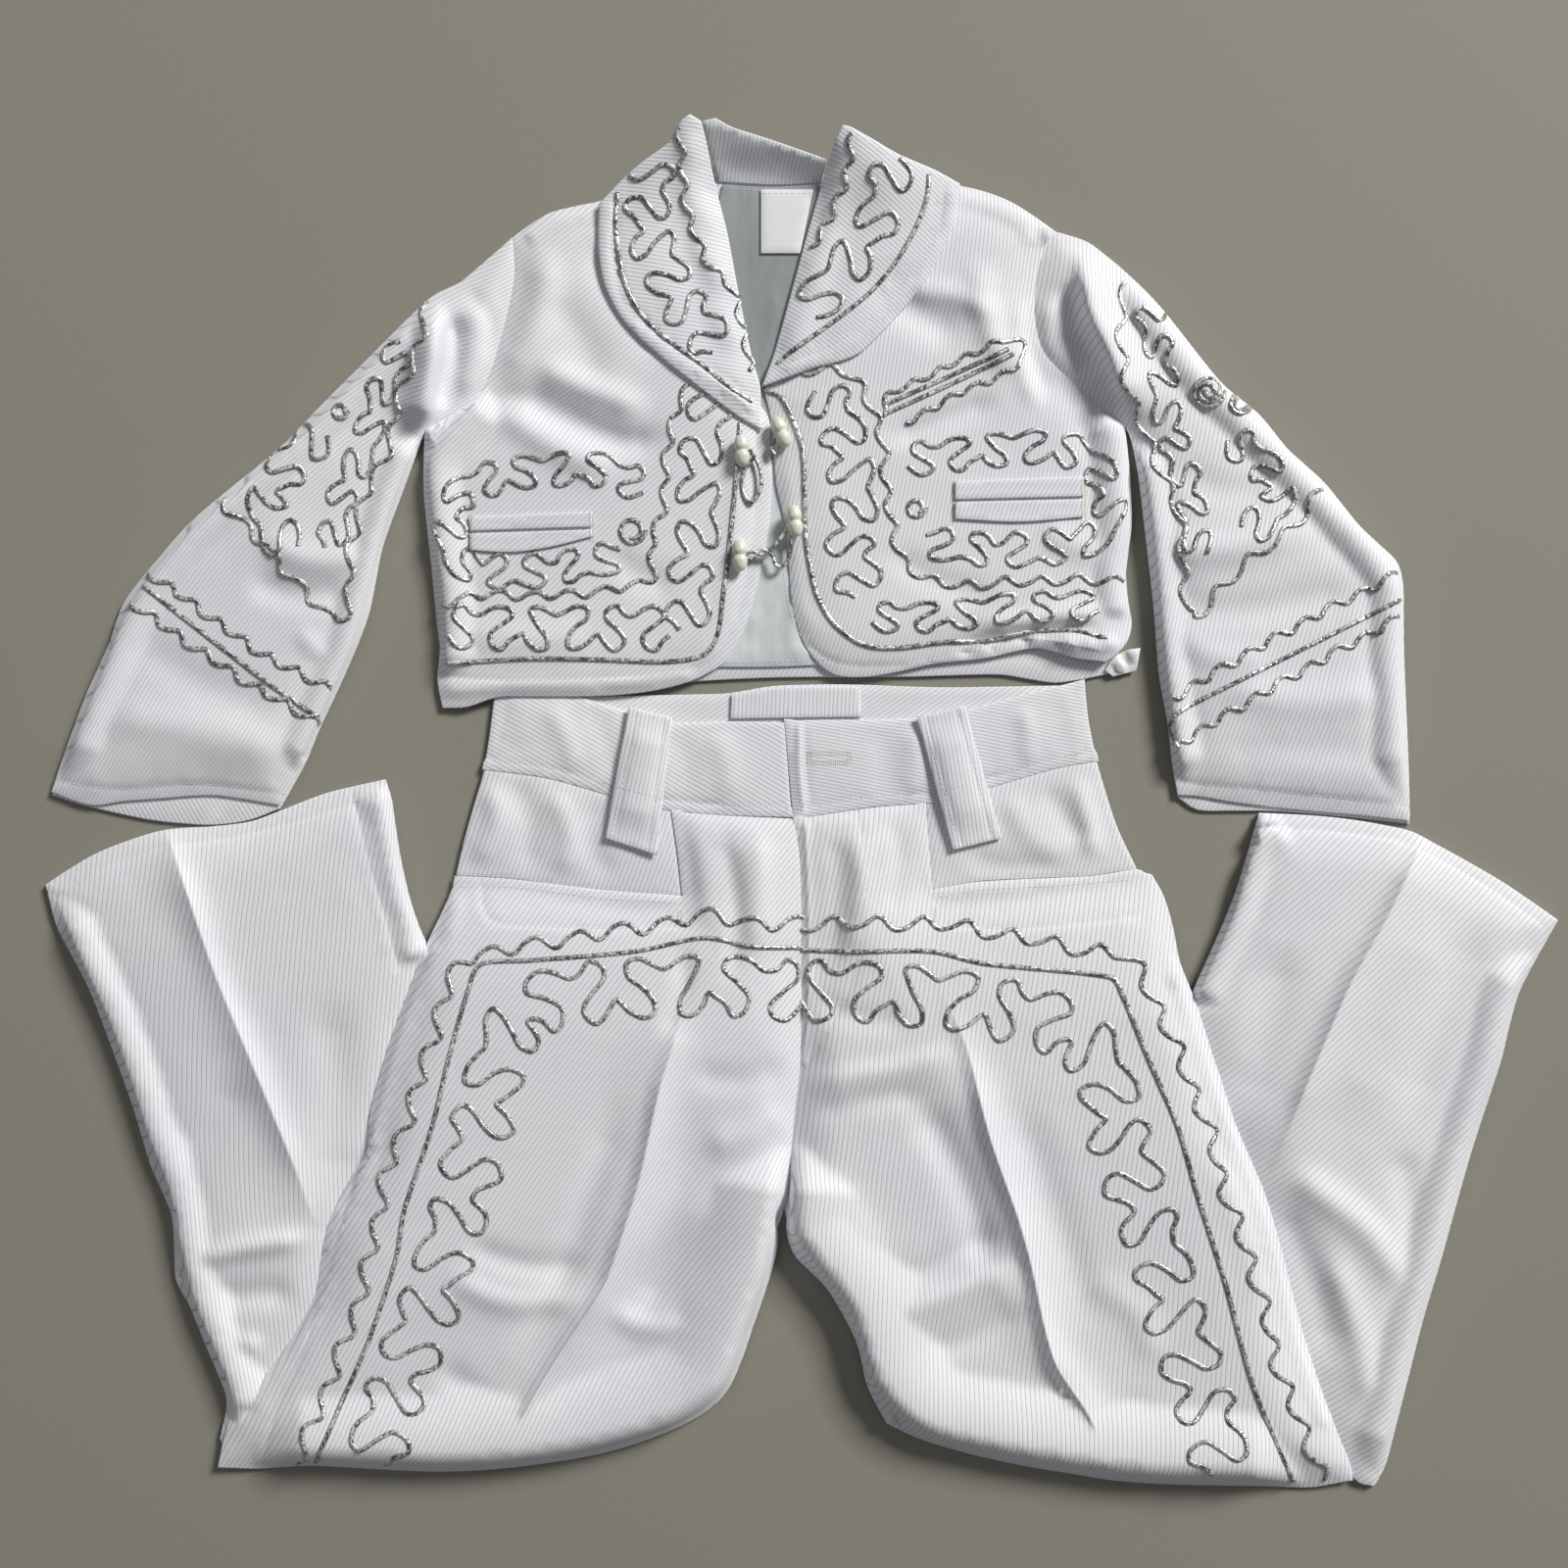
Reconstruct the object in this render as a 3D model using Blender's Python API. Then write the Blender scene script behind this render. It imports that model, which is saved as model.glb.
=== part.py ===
"""A child's charro suit laid flat: a short embroidered jacket over trousers folded at the knee.

The suit is drawn on a layout sheet seen from straight above. The sheet has 1600 by 1600 steps
of half a millimetre, with x to the right and y down from its top left corner. Heights are in
millimetres above the surface that the suit lies on. Right and left are the wearer's, so the
right half of the suit lies on the left of the sheet.
"""
import math
from collections import namedtuple

import bmesh
import bpy
import numpy as np
from mathutils import Vector
from mathutils.bvhtree import BVHTree
from mathutils.geometry import delaunay_2d_cdt

# Layout sheet, in metres.
STEP = 0.0005
SHEET_MIDDLE = 800
EYE_HEIGHT = 0.858

# Cloth and trim, in millimetres.
MM = 0.001
CLOTH = 1.2
COLLAR_CLOTH = 2.0
SATIN = 1.0
LABEL = 0.8
LOOP_CLOTH = 1.8
SEAM_HALF_GAP = 0.2
LAYER_GAP = 0.3
FOLDED_HEIGHT = 4.2
CORD_WIDTH = 3.0
CORD_HEIGHT = 1.1
FROG_CORD = 2.2
TOGGLE_RADIUS = 3.9

# Levels of the undersides, in millimetres: what lies on the floor, and what lies on one layer.
FLOOR = 0.0
SECOND = CLOTH + LAYER_GAP
OVER_LINING = SECOND + SATIN + LAYER_GAP

# Spacing of the points inside a panel, in layout steps.
COARSE = 34
MEDIUM = 28
FINE = 22

Spot = namedtuple("Spot", "x y under sharp")
Fold = namedtuple("Fold", "path height width")
Finish = namedtuple("Finish", "name colour roughness metallic")
Panel = namedtuple("Panel", "name outline finish thick crown reach spacing folds")

TWILL = Finish("white_twill", (0.80, 0.81, 0.84), 0.75, 0.0)
SATIN_BLUE = Finish("pale_satin", (0.52, 0.60, 0.62), 0.35, 0.0)
LABEL_WHITE = Finish("label_tape", (0.84, 0.85, 0.85), 0.60, 0.0)
IVORY = Finish("ivory_resin", (0.66, 0.66, 0.56), 0.35, 0.0)
SILVER = Finish("silver_cord", (0.62, 0.64, 0.63), 0.35, 1.0)


def spots(rows, under=None):
    """Turn rows of x, y, underside height and an optional corner mark into outline spots."""
    made = []
    for row in rows:
        x, y = row[0], row[1]
        height = row[2] if len(row) > 2 and under is None else under
        sharp = bool(row[-1] == "corner")
        made.append(Spot(float(x), float(y), float(height), sharp))
    return made


# Seams that two pieces share. Columns: x, y, underside height, corner mark.
ARMHOLE_RIGHT = [
    (523, 243, SECOND, "corner"),
    (525, 278, SECOND),
    (511, 345, SECOND),
    (486, 406, SECOND),
    (434, 437, SECOND, "corner"),
]
ARMHOLE_LEFT = [
    (1077, 237, SECOND, "corner"),
    (1063, 262, SECOND),
    (1056, 310, SECOND),
    (1065, 357, SECOND),
    (1096, 391, SECOND),
    (1147, 434, SECOND, "corner"),
]
FLY_SEAM = [
    (812, 836, SECOND, "corner"),
    (818, 880, SECOND),
    (820, 970, SECOND),
    (818, 1089, SECOND),
    (811, 1150, SECOND),
    (806, 1220, SECOND, "corner"),
]
FOLD_LINE_RIGHT = [
    (764, 1352, FLOOR, "corner"),
    (604, 1166, FLOOR),
    (449, 980, FLOOR, "corner"),
]
FOLD_LINE_LEFT = [
    (1196, 985, FLOOR, "corner"),
    (1035, 1165, FLOOR),
    (872, 1338, FLOOR, "corner"),
]

# Jacket fronts. The hem of the right one lies on the trousers' waist.
FRONT_RIGHT = ARMHOLE_RIGHT[:0:-1] + ARMHOLE_RIGHT[:1] + [
    (561, 218, 2.2),
    (612, 206, 2.6),
    (700, 180, OVER_LINING, "corner"),
    (718, 270, OVER_LINING),
    (741, 370, OVER_LINING),
    (765, 402, OVER_LINING),
    (783, 426, OVER_LINING, "corner"),
    (787, 480, OVER_LINING),
    (783, 546, OVER_LINING),
    (772, 597, OVER_LINING),
    (757, 645, OVER_LINING),
    (741, 673, OVER_LINING),
    (706, 694, OVER_LINING),
    (655, 706, 3.0),
    (600, 710, 3.3),
    (507, 711, 3.3),
    (476, 721, 2.6),
    (452, 722, SECOND, "corner"),
    (447, 695, SECOND),
    (450, 650, SECOND),
    (441, 570, SECOND),
    (433, 500, SECOND),
]
FRONT_LEFT = ARMHOLE_LEFT + [
    (1152, 480, SECOND),
    (1154, 536, SECOND),
    (1148, 590, SECOND),
    (1154, 640, 2.6),
    (1146, 660, 4.2),
    (1128, 675, 5.6),
    (1098, 671, 5.2),
    (1057, 661, 3.4),
    (1007, 671, OVER_LINING),
    (953, 677, OVER_LINING),
    (900, 688, OVER_LINING),
    (852, 688, OVER_LINING),
    (821, 657, OVER_LINING),
    (808, 610, OVER_LINING),
    (803, 540, OVER_LINING),
    (793, 497, OVER_LINING),
    (790, 461, OVER_LINING),
    (788, 430, OVER_LINING),
    (780, 398, OVER_LINING, "corner"),
    (797, 381, OVER_LINING),
    (814, 352, OVER_LINING),
    (832, 300, OVER_LINING),
    (876, 180, OVER_LINING, "corner"),
    (978, 190, 2.4),
    (1030, 206, 2.0),
]
JACKET_BACK = ARMHOLE_LEFT + [
    (1152, 500, FLOOR),
    (1148, 580, FLOOR),
    (1150, 640, FLOOR),
    (1132, 687, FLOOR, "corner"),
    (1077, 696, FLOOR),
    (1021, 688, FLOOR),
    (930, 690, FLOOR),
    (786, 691, FLOOR),
    (650, 698, FLOOR),
    (560, 700, FLOOR),
    (455, 698, FLOOR, "corner"),
    (447, 640, FLOOR),
    (440, 570, FLOOR),
    (433, 500, FLOOR),
] + ARMHOLE_RIGHT[::-1] + [
    (561, 221, FLOOR),
    (612, 210, FLOOR),
    (735, 176, FLOOR, "corner"),
    (786, 180, FLOOR),
    (842, 178, FLOOR, "corner"),
    (978, 194, FLOOR),
    (1030, 209, FLOOR),
]
LINING = [
    (738, 189, SECOND, "corner"),
    (786, 192, SECOND),
    (838, 190, SECOND, "corner"),
    (832, 262, SECOND),
    (816, 320, SECOND),
    (804, 370, SECOND),
    (802, 470, SECOND),
    (815, 560, SECOND),
    (836, 640, SECOND),
    (852, 677, SECOND, "corner"),
    (790, 680, SECOND),
    (730, 680, SECOND, "corner"),
    (752, 635, SECOND),
    (768, 560, SECOND),
    (772, 470, SECOND),
    (762, 380, SECOND),
    (742, 300, SECOND),
    (730, 240, SECOND),
]
HEM_LINING = [
    (1128, 684, SECOND, "corner"),
    (1136, 690, SECOND),
    (1159, 684, SECOND, "corner"),
    (1163, 662, SECOND, "corner"),
    (1150, 664, SECOND),
    (1136, 672, SECOND),
]
CARE_LABEL = [
    (777, 194, OVER_LINING, "corner"),
    (829, 194, OVER_LINING, "corner"),
    (816, 258, OVER_LINING, "corner"),
    (777, 258, OVER_LINING, "corner"),
]

# Shawl collar: each half stands at the roll line, and its outer edge lies on the front.
COLLAR_STAND = [
    (717, 124, 14.0, "corner"),
    (730, 121, 15.0),
    (746, 130, 15.0),
    (786, 143, 13.5),
    (843, 163, 11.0, "corner"),
    (837, 186, SECOND, "corner"),
    (786, 188, SECOND),
    (734, 185, SECOND, "corner"),
    (727, 160, 7.0),
]
COLLAR_RIGHT = [
    (777, 438, 5.0, "corner"),
    (751, 423, 6.2),
    (701, 385, 6.7),
    (668, 358, 6.7),
    (636, 326, 6.7),
    (617, 289, 6.7),
    (611, 250, 6.7),
    (612, 208, 6.9, "corner"),
    (636, 183, 9.0),
    (658, 164, 12.0),
    (682, 146, 15.0),
    (695, 124, 18.0),
    (704, 117, 19.0, "corner"),
    (715, 124, 17.5),
    (725, 170, 8.0),
    (732, 200, OVER_LINING),
    (742, 240, OVER_LINING),
    (751, 288, OVER_LINING),
    (765, 357, OVER_LINING),
    (775, 394, 4.8, "corner"),
]
COLLAR_LEFT = [
    (778, 394, 4.8, "corner"),
    (790, 362, OVER_LINING),
    (808, 298, OVER_LINING),
    (821, 250, OVER_LINING),
    (837, 195, OVER_LINING),
    (845, 168, 8.0),
    (853, 142, 15.5),
    (861, 128, 18.0, "corner"),
    (868, 130, 18.0),
    (893, 144, 16.0),
    (917, 158, 13.0),
    (954, 174, 9.5),
    (979, 188, 7.4, "corner"),
    (977, 214, 6.7),
    (971, 234, 6.7),
    (955, 267, 6.7),
    (928, 307, 6.7),
    (875, 361, 6.7),
    (834, 374, 6.4),
    (802, 385, 5.6),
]

# Sleeves. Each is an upper and an under cloth, joined along both edges.
SLEEVE_INNER_RIGHT = [
    (427, 456),
    (408, 508),
    (389, 562),
    (376, 626),
    (352, 687),
    (326, 743),
    (311, 779),
]
SLEEVE_OUTER_RIGHT = [
    (61, 784),
    (87, 712),
    (112, 656),
    (127, 615),
    (163, 569),
    (194, 534),
    (230, 503),
    (286, 457),
    (326, 416),
    (367, 375),
    (418, 324),
    (444, 301),
    (469, 289),
    (500, 263),
]
CUFF_UPPER_RIGHT = [
    (285, 821, "corner"),
    (219, 811),
    (168, 814),
    (127, 817),
    (92, 821),
    (53, 808, "corner"),
]
CUFF_UNDER_RIGHT = [
    (286, 824, "corner"),
    (255, 836),
    (219, 841),
    (153, 836),
    (82, 820),
    (54, 811, "corner"),
]
SLEEVE_INNER_LEFT = [
    (1154, 447),
    (1161, 479),
    (1170, 552),
    (1178, 624),
    (1183, 688),
    (1192, 738),
    (1197, 782),
]
SLEEVE_OUTER_LEFT = [
    (1437, 790),
    (1435, 738),
    (1432, 662),
    (1431, 596),
    (1425, 574),
    (1387, 537),
    (1351, 493),
    (1313, 458),
    (1284, 423),
    (1249, 394),
    (1219, 358),
    (1184, 314),
    (1149, 279),
    (1108, 247),
]
CUFF_UPPER_LEFT = [
    (1202, 811, "corner"),
    (1223, 812),
    (1258, 818),
    (1299, 823),
    (1348, 828),
    (1386, 831),
    (1438, 837, "corner"),
]
CUFF_UNDER_LEFT = [
    (1203, 814, "corner"),
    (1222, 826),
    (1299, 827),
    (1386, 834),
    (1438, 840, "corner"),
]

# Pockets on the fronts: an upper and a lower welt, with the slit between them.
WELT_ROWS = {
    "welt_right_upper": [(479, 528), (604, 523), (603, 537), (480, 541)],
    "welt_right_lower": [(480, 545), (603, 541), (604, 547), (560, 558), (520, 563), (480, 561)],
    "welt_left_upper": [(975, 492), (1105, 487), (1105, 506), (975, 509)],
    "welt_left_lower": [(975, 513), (1105, 510), (1105, 527), (1040, 532), (975, 529)],
}

# Trousers, above the knee.
BAND_FRONT_RIGHT = [
    (506, 703, SECOND, "corner"),
    (560, 705, SECOND),
    (594, 712, SECOND),
    (632, 725, SECOND),
    (684, 738, SECOND),
    (744, 737, SECOND),
    (800, 738, SECOND, "corner"),
    (807, 831, SECOND, "corner"),
    (744, 829, SECOND),
    (681, 824, SECOND),
    (619, 808, SECOND),
    (557, 791, SECOND),
    (495, 783, SECOND, "corner"),
    (500, 750, SECOND),
]
BAND_FRONT_LEFT = [
    (803, 736, SECOND, "corner"),
    (850, 735, SECOND),
    (907, 735, SECOND),
    (940, 733, SECOND),
    (986, 725, SECOND),
    (1040, 711, SECOND),
    (1075, 702, SECOND),
    (1106, 694, SECOND, "corner"),
    (1110, 735, SECOND),
    (1118, 774, SECOND, "corner"),
    (1075, 782, SECOND),
    (1010, 801, SECOND),
    (955, 816, SECOND),
    (896, 820, SECOND),
    (812, 833, SECOND, "corner"),
]
BAND_BACK = [
    (524, 710, FLOOR, "corner"),
    (600, 711, FLOOR),
    (744, 708, FLOOR),
    (786, 701, FLOOR),
    (860, 699, FLOOR),
    (960, 702, FLOOR),
    (1090, 700, FLOOR, "corner"),
    (1104, 768, FLOOR, "corner"),
    (1000, 794, FLOOR),
    (812, 826, FLOOR),
    (620, 800, FLOOR),
    (508, 782, FLOOR, "corner"),
]
BAND_TAB = [
    (747, 709, SECOND, "corner"),
    (786, 703, SECOND),
    (860, 701, SECOND),
    (876, 702, SECOND, "corner"),
    (878, 731, SECOND, "corner"),
    (812, 732, SECOND),
    (746, 733, SECOND, "corner"),
]
YOKE_RIGHT = [
    (495, 785, SECOND, "corner"),
    (557, 793, SECOND),
    (619, 810, SECOND),
    (684, 826, SECOND, "corner"),
    (690, 870, SECOND),
    (695, 913, SECOND, "corner"),
    (619, 909, SECOND),
    (520, 896, SECOND),
    (466, 893, SECOND, "corner"),
    (473, 862, SECOND),
    (483, 826, SECOND),
]
YOKE_LEFT = [
    (946, 820, SECOND, "corner"),
    (1010, 803, SECOND),
    (1075, 784, SECOND),
    (1118, 776, SECOND, "corner"),
    (1128, 810, SECOND),
    (1140, 846, SECOND),
    (1159, 886, SECOND, "corner"),
    (1113, 893, SECOND),
    (1075, 895, SECOND),
    (998, 899, SECOND),
    (951, 908, SECOND, "corner"),
    (948, 866, SECOND),
]
THIGH_RIGHT = FLY_SEAM + [
    (793, 1240, SECOND),
    (793, 1270, SECOND),
    (786, 1299, SECOND),
    (768, 1353, SECOND),
    (742, 1418, 1.2),
    (700, 1452, 0.6),
    (620, 1481, 0.3),
    (522, 1497, 0.3),
    (447, 1501, 0.3),
    (376, 1498, 0.3),
    (315, 1495, 0.3),
    (264, 1498, 1.4),
    (223, 1497, 3.2, "corner"),
    (236, 1447, 4.3),
    (278, 1394, 4.3),
    (304, 1356, 4.3),
    (322, 1322, 4.3),
    (337, 1243, 4.3),
    (374, 1176, 4.3),
    (377, 1141, 4.3),
    (395, 1073, 4.3),
    (418, 1009, 4.1),
    (434, 968, 3.6),
    (456, 921, 2.2),
    (466, 897, SECOND, "corner"),
    (520, 900, SECOND),
    (619, 912, SECOND),
    (699, 917, SECOND, "corner"),
    (694, 870, SECOND),
    (688, 829, SECOND, "corner"),
    (744, 833, SECOND),
]
THIGH_LEFT = FLY_SEAM[::-1] + [
    (896, 824, SECOND),
    (942, 821, SECOND, "corner"),
    (945, 870, SECOND),
    (948, 912, SECOND, "corner"),
    (998, 903, SECOND),
    (1075, 899, SECOND),
    (1113, 897, SECOND),
    (1160, 890, SECOND, "corner"),
    (1175, 893, SECOND),
    (1187, 915, SECOND),
    (1196, 945, SECOND),
    (1203, 980, 3.0),
    (1221, 1027, 4.0),
    (1261, 1150, 4.3),
    (1288, 1213, 4.3),
    (1308, 1279, 4.3),
    (1326, 1351, 4.3),
    (1351, 1428, 4.3),
    (1376, 1492, 3.4),
    (1380, 1510, 2.8, "corner"),
    (1340, 1517, 1.0),
    (1294, 1516, 0.3),
    (1193, 1514, 0.3),
    (1136, 1510, 0.3),
    (1093, 1503, 0.3),
    (1050, 1496, 0.3),
    (975, 1479, 0.6),
    (905, 1452, 1.2),
    (886, 1415, SECOND),
    (876, 1374, SECOND),
    (861, 1342, SECOND),
    (843, 1313, SECOND),
    (811, 1280, SECOND),
    (803, 1255, SECOND),
]
SEAT = [
    (502, 788, FLOOR, "corner"),
    (619, 814, FLOOR),
    (812, 838, FLOOR),
    (955, 822, FLOOR),
    (1112, 780, FLOOR, "corner"),
    (1134, 846, FLOOR),
    (1158, 893, FLOOR),
    (1190, 940, FLOOR),
] + FOLD_LINE_LEFT + [
    (846, 1311, FLOOR),
    (816, 1281, FLOOR),
    (807, 1256, FLOOR),
    (800, 1232, FLOOR, "corner"),
    (790, 1262, FLOOR),
    (782, 1300, FLOOR),
] + FOLD_LINE_RIGHT + [
    (462, 912, FLOOR),
    (480, 845, FLOOR),
]

# Hidden folded cloth under each thigh, and the lower legs that come out from under it.
FOLDED_RIGHT = FOLD_LINE_RIGHT + [
    (438, 1024, FLOOR),
    (413, 1084, FLOOR),
    (396, 1150, FLOOR),
    (390, 1188, FLOOR),
    (356, 1254, FLOOR),
    (340, 1334, FLOOR),
    (296, 1405, FLOOR),
    (262, 1456, FLOOR),
    (272, 1476, FLOOR, "corner"),
    (376, 1478, FLOOR),
    (447, 1481, FLOOR),
    (522, 1477, FLOOR),
    (614, 1461, FLOOR),
    (688, 1433, FLOOR),
    (728, 1398, FLOOR),
]
FOLDED_LEFT = FOLD_LINE_LEFT + [
    (888, 1374, FLOOR),
    (900, 1410, FLOOR),
    (924, 1437, FLOOR),
    (978, 1459, FLOOR),
    (1050, 1476, FLOOR),
    (1136, 1490, FLOOR),
    (1294, 1495, FLOOR),
    (1338, 1494, FLOOR, "corner"),
    (1331, 1434, FLOOR),
    (1306, 1357, FLOOR),
    (1289, 1285, FLOOR),
    (1268, 1219, FLOOR),
    (1242, 1154, FLOOR),
    (1214, 1075, FLOOR),
    (1202, 1033, FLOOR),
]
LOWER_RIGHT = [
    (47, 903, SECOND, "corner"),
    (99, 871, SECOND),
    (166, 848, SECOND),
    (216, 844, SECOND),
    (255, 839, SECOND),
    (286, 828, SECOND),
    (333, 810, SECOND),
    (393, 796, SECOND, "corner"),
    (399, 815, SECOND),
    (407, 868, SECOND),
    (419, 921, SECOND),
    (437, 972, SECOND, "corner"),
    (430, 1012, SECOND),
    (407, 1078, SECOND),
    (389, 1146, SECOND),
    (385, 1180, SECOND),
    (350, 1248, SECOND),
    (334, 1330, SECOND),
    (291, 1400, SECOND),
    (247, 1454, SECOND),
    (233, 1484, SECOND, "corner"),
    (225, 1468, SECOND),
    (232, 1430, SECOND),
    (211, 1374, SECOND),
    (193, 1330, SECOND),
    (180, 1305, SECOND),
    (176, 1242, SECOND),
    (155, 1191, SECOND),
    (137, 1132, SECOND),
    (116, 1073, SECOND),
    (90, 1006, SECOND),
    (58, 944, SECOND),
]
LOWER_LEFT = [
    (1285, 830, SECOND, "corner"),
    (1342, 833, SECOND),
    (1386, 838, SECOND),
    (1440, 849, SECOND),
    (1467, 863, SECOND),
    (1532, 900, SECOND),
    (1589, 939, SECOND, "corner"),
    (1549, 1014, SECOND),
    (1532, 1079, SECOND),
    (1500, 1178, SECOND),
    (1470, 1285, SECOND),
    (1452, 1345, SECOND),
    (1432, 1423, SECOND),
    (1413, 1495, SECOND),
    (1402, 1516, SECOND, "corner"),
    (1386, 1512, SECOND),
    (1364, 1487, SECOND),
    (1338, 1431, SECOND),
    (1313, 1354, SECOND),
    (1295, 1282, SECOND),
    (1275, 1216, SECOND),
    (1249, 1152, SECOND),
    (1221, 1075, SECOND),
    (1210, 1030, SECOND),
    (1220, 1006, SECOND, "corner"),
    (1243, 955, SECOND),
    (1263, 905, SECOND),
]
BELT_LOOP_RIGHT = [
    (642, 722, 4.6, "corner"),
    (685, 733, 4.6, "corner"),
    (669, 872, 4.6, "corner"),
    (618, 855, 4.6, "corner"),
]
BELT_LOOP_LEFT = [
    (936, 732, 4.6, "corner"),
    (984, 721, 4.6, "corner"),
    (1021, 855, 4.6, "corner"),
    (973, 867, 4.6, "corner"),
]

# Folds. Columns of a fold: path on the sheet, height and half width in millimetres.
ROLL_RIGHT = Fold([(706, 134), (717, 190), (729, 245), (740, 300), (753, 355), (764, 388)], 7.5, 6.0)
ROLL_LEFT = Fold([(863, 148), (849, 198), (833, 254), (820, 305), (806, 352), (791, 384)], 7.5, 6.0)
FOLDS = {
    "jacket_front_right": [
        Fold([(520, 393), (585, 425), (655, 477)], -1.0, 7.0),
        Fold([(548, 262), (540, 330), (520, 400)], 0.9, 8.0),
    ],
    "jacket_front_left": [
        Fold([(1002, 262), (1010, 330), (1035, 395)], 0.9, 8.0),
        Fold([(1075, 655), (1108, 662), (1136, 652)], 1.8, 6.0),
    ],
    "collar_right": [ROLL_RIGHT],
    "collar_left": [ROLL_LEFT],
    "sleeve_upper_right": [
        Fold([(446, 316), (442, 360), (438, 402), (430, 436)], 3.6, 6.0),
        Fold([(463, 318), (462, 365), (452, 412)], -1.6, 5.0),
        Fold([(268, 548), (318, 566), (372, 566)], 1.4, 8.0),
        Fold([(96, 730), (180, 742), (300, 768)], 1.0, 10.0),
    ],
    "sleeve_upper_left": [
        Fold([(1100, 268), (1110, 318), (1128, 356), (1152, 420)], 3.2, 6.0),
        Fold([(1176, 560), (1250, 556), (1330, 540)], 1.4, 8.0),
        Fold([(1236, 700), (1320, 720), (1424, 716)], 1.0, 10.0),
    ],
    "thigh_right": [
        Fold([(684, 1050), (630, 1203), (594, 1324), (541, 1396), (523, 1497)], 2.6, 8.0),
        Fold([(806, 1190), (740, 1230), (640, 1262)], 1.6, 9.0),
        Fold([(450, 1310), (520, 1330), (590, 1330)], 1.2, 9.0),
    ],
    "thigh_left": [
        Fold([(968, 1080), (1033, 1246), (1038, 1320), (1100, 1420), (1136, 1506)], 2.6, 8.0),
        Fold([(898, 1350), (960, 1322), (1016, 1302)], 1.6, 8.0),
        Fold([(812, 1130), (870, 1110), (930, 1100)], 1.4, 9.0),
    ],
    "lower_leg_back_right": [
        Fold([(172, 862), (216, 997), (289, 1170), (316, 1236)], 1.8, 7.0),
        Fold([(194, 1300), (236, 1272), (280, 1264)], 1.3, 8.0),
    ],
    "lower_leg_back_left": [
        Fold([(1450, 873), (1412, 955), (1374, 1036), (1312, 1176)], 1.8, 7.0),
        Fold([(1330, 1215), (1390, 1270), (1430, 1330)], 1.2, 9.0),
    ],
}

# Silver border cords in CAD: the straight lines. Columns: piece that carries it, path.
BORDERS = {
    "cord_front_right": ("jacket_front_right", [
        (755, 444), (751, 490), (744, 560), (738, 608), (732, 648), (718, 668), (681, 675),
        (617, 673), (540, 672), (456, 677)]),
    "cord_front_left": ("jacket_front_left", [
        (790, 408), (806, 424), (819, 458), (821, 508), (822, 545), (827, 579), (835, 609),
        (852, 637), (880, 657), (914, 661), (964, 655), (1007, 654), (1049, 645), (1091, 643),
        (1120, 648)]),
    "cord_collar_right": ("collar_right", [
        (630, 204), (628, 229), (636, 282), (650, 314), (671, 338), (714, 370), (744, 396),
        (758, 408)]),
    "cord_collar_left": ("collar_left", [
        (947, 180), (945, 200), (936, 229), (915, 266), (888, 298), (848, 330), (822, 350)]),
    "cord_sleeve_right": ("sleeve_upper_right", [
        (146, 598), (190, 632), (236, 668), (281, 702), (322, 730)]),
    "cord_sleeve_left": ("sleeve_upper_left", [
        (1426, 614), (1350, 652), (1270, 692), (1212, 722)]),
    "cord_thigh_right": ("thigh_right", [
        (808, 964), (769, 966), (719, 957), (647, 971), (540, 980), (490, 985), (478, 1010),
        (458, 1080), (441, 1150), (413, 1234), (404, 1285), (376, 1369), (354, 1419),
        (330, 1472)]),
    "cord_thigh_left": ("thigh_left", [
        (830, 971), (872, 971), (951, 971), (1004, 983), (1133, 998), (1146, 1020),
        (1172, 1080), (1202, 1150), (1222, 1219), (1251, 1311), (1277, 1408), (1300, 1478)]),
}

# Toggles. Columns: name, middle x and y, turn in degrees, length in millimetres, carrier.
TOGGLES = [
    ("toggle_right_upper", 757, 460, 94, 16.5, "jacket_front_right"),
    ("toggle_right_lower", 755, 567, 92, 16.5, "jacket_front_right"),
    ("toggle_left_upper", 797, 441, 112, 15.5, "jacket_front_left"),
    ("toggle_left_lower", 811, 532, 96, 16.5, "jacket_front_left"),
]
# Profile of a toggle: share of the length, share of the radius.
TOGGLE_PROFILE = [
    (0.00, 0.30), (0.05, 0.62), (0.16, 0.90), (0.32, 1.00), (0.43, 0.92), (0.50, 0.66),
    (0.57, 0.92), (0.68, 1.00), (0.84, 0.90), (0.95, 0.62), (1.00, 0.30),
]
# Frog cords: closed loops on the sheet. Columns: name, middle x and y, half axes, turn.
FROG_LOOPS = [
    ("frog_loop_upper", 767, 499, 6.5, 17.0, -4),
    ("frog_loop_lower", 784, 563, 18.0, 6.5, 8),
]


def on_sheet(x, y, height):
    """World position of the point at a height that is seen at x, y from above the sheet."""
    pull = 1.0 - height * MM / EYE_HEIGHT
    return Vector(((x - SHEET_MIDDLE) * STEP * pull, (SHEET_MIDDLE - y) * STEP * pull, height * MM))


def finish_material(finish):
    """Principled material of a finish, made once."""
    material = bpy.data.materials.get(finish.name)
    if material is None:
        material = bpy.data.materials.new(finish.name)
        material.use_nodes = True
        shader = material.node_tree.nodes["Principled BSDF"]
        shader.inputs["Base Color"].default_value = (*finish.colour, 1.0)
        shader.inputs["Roughness"].default_value = finish.roughness
        shader.inputs["Metallic"].default_value = finish.metallic
    return material


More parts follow.
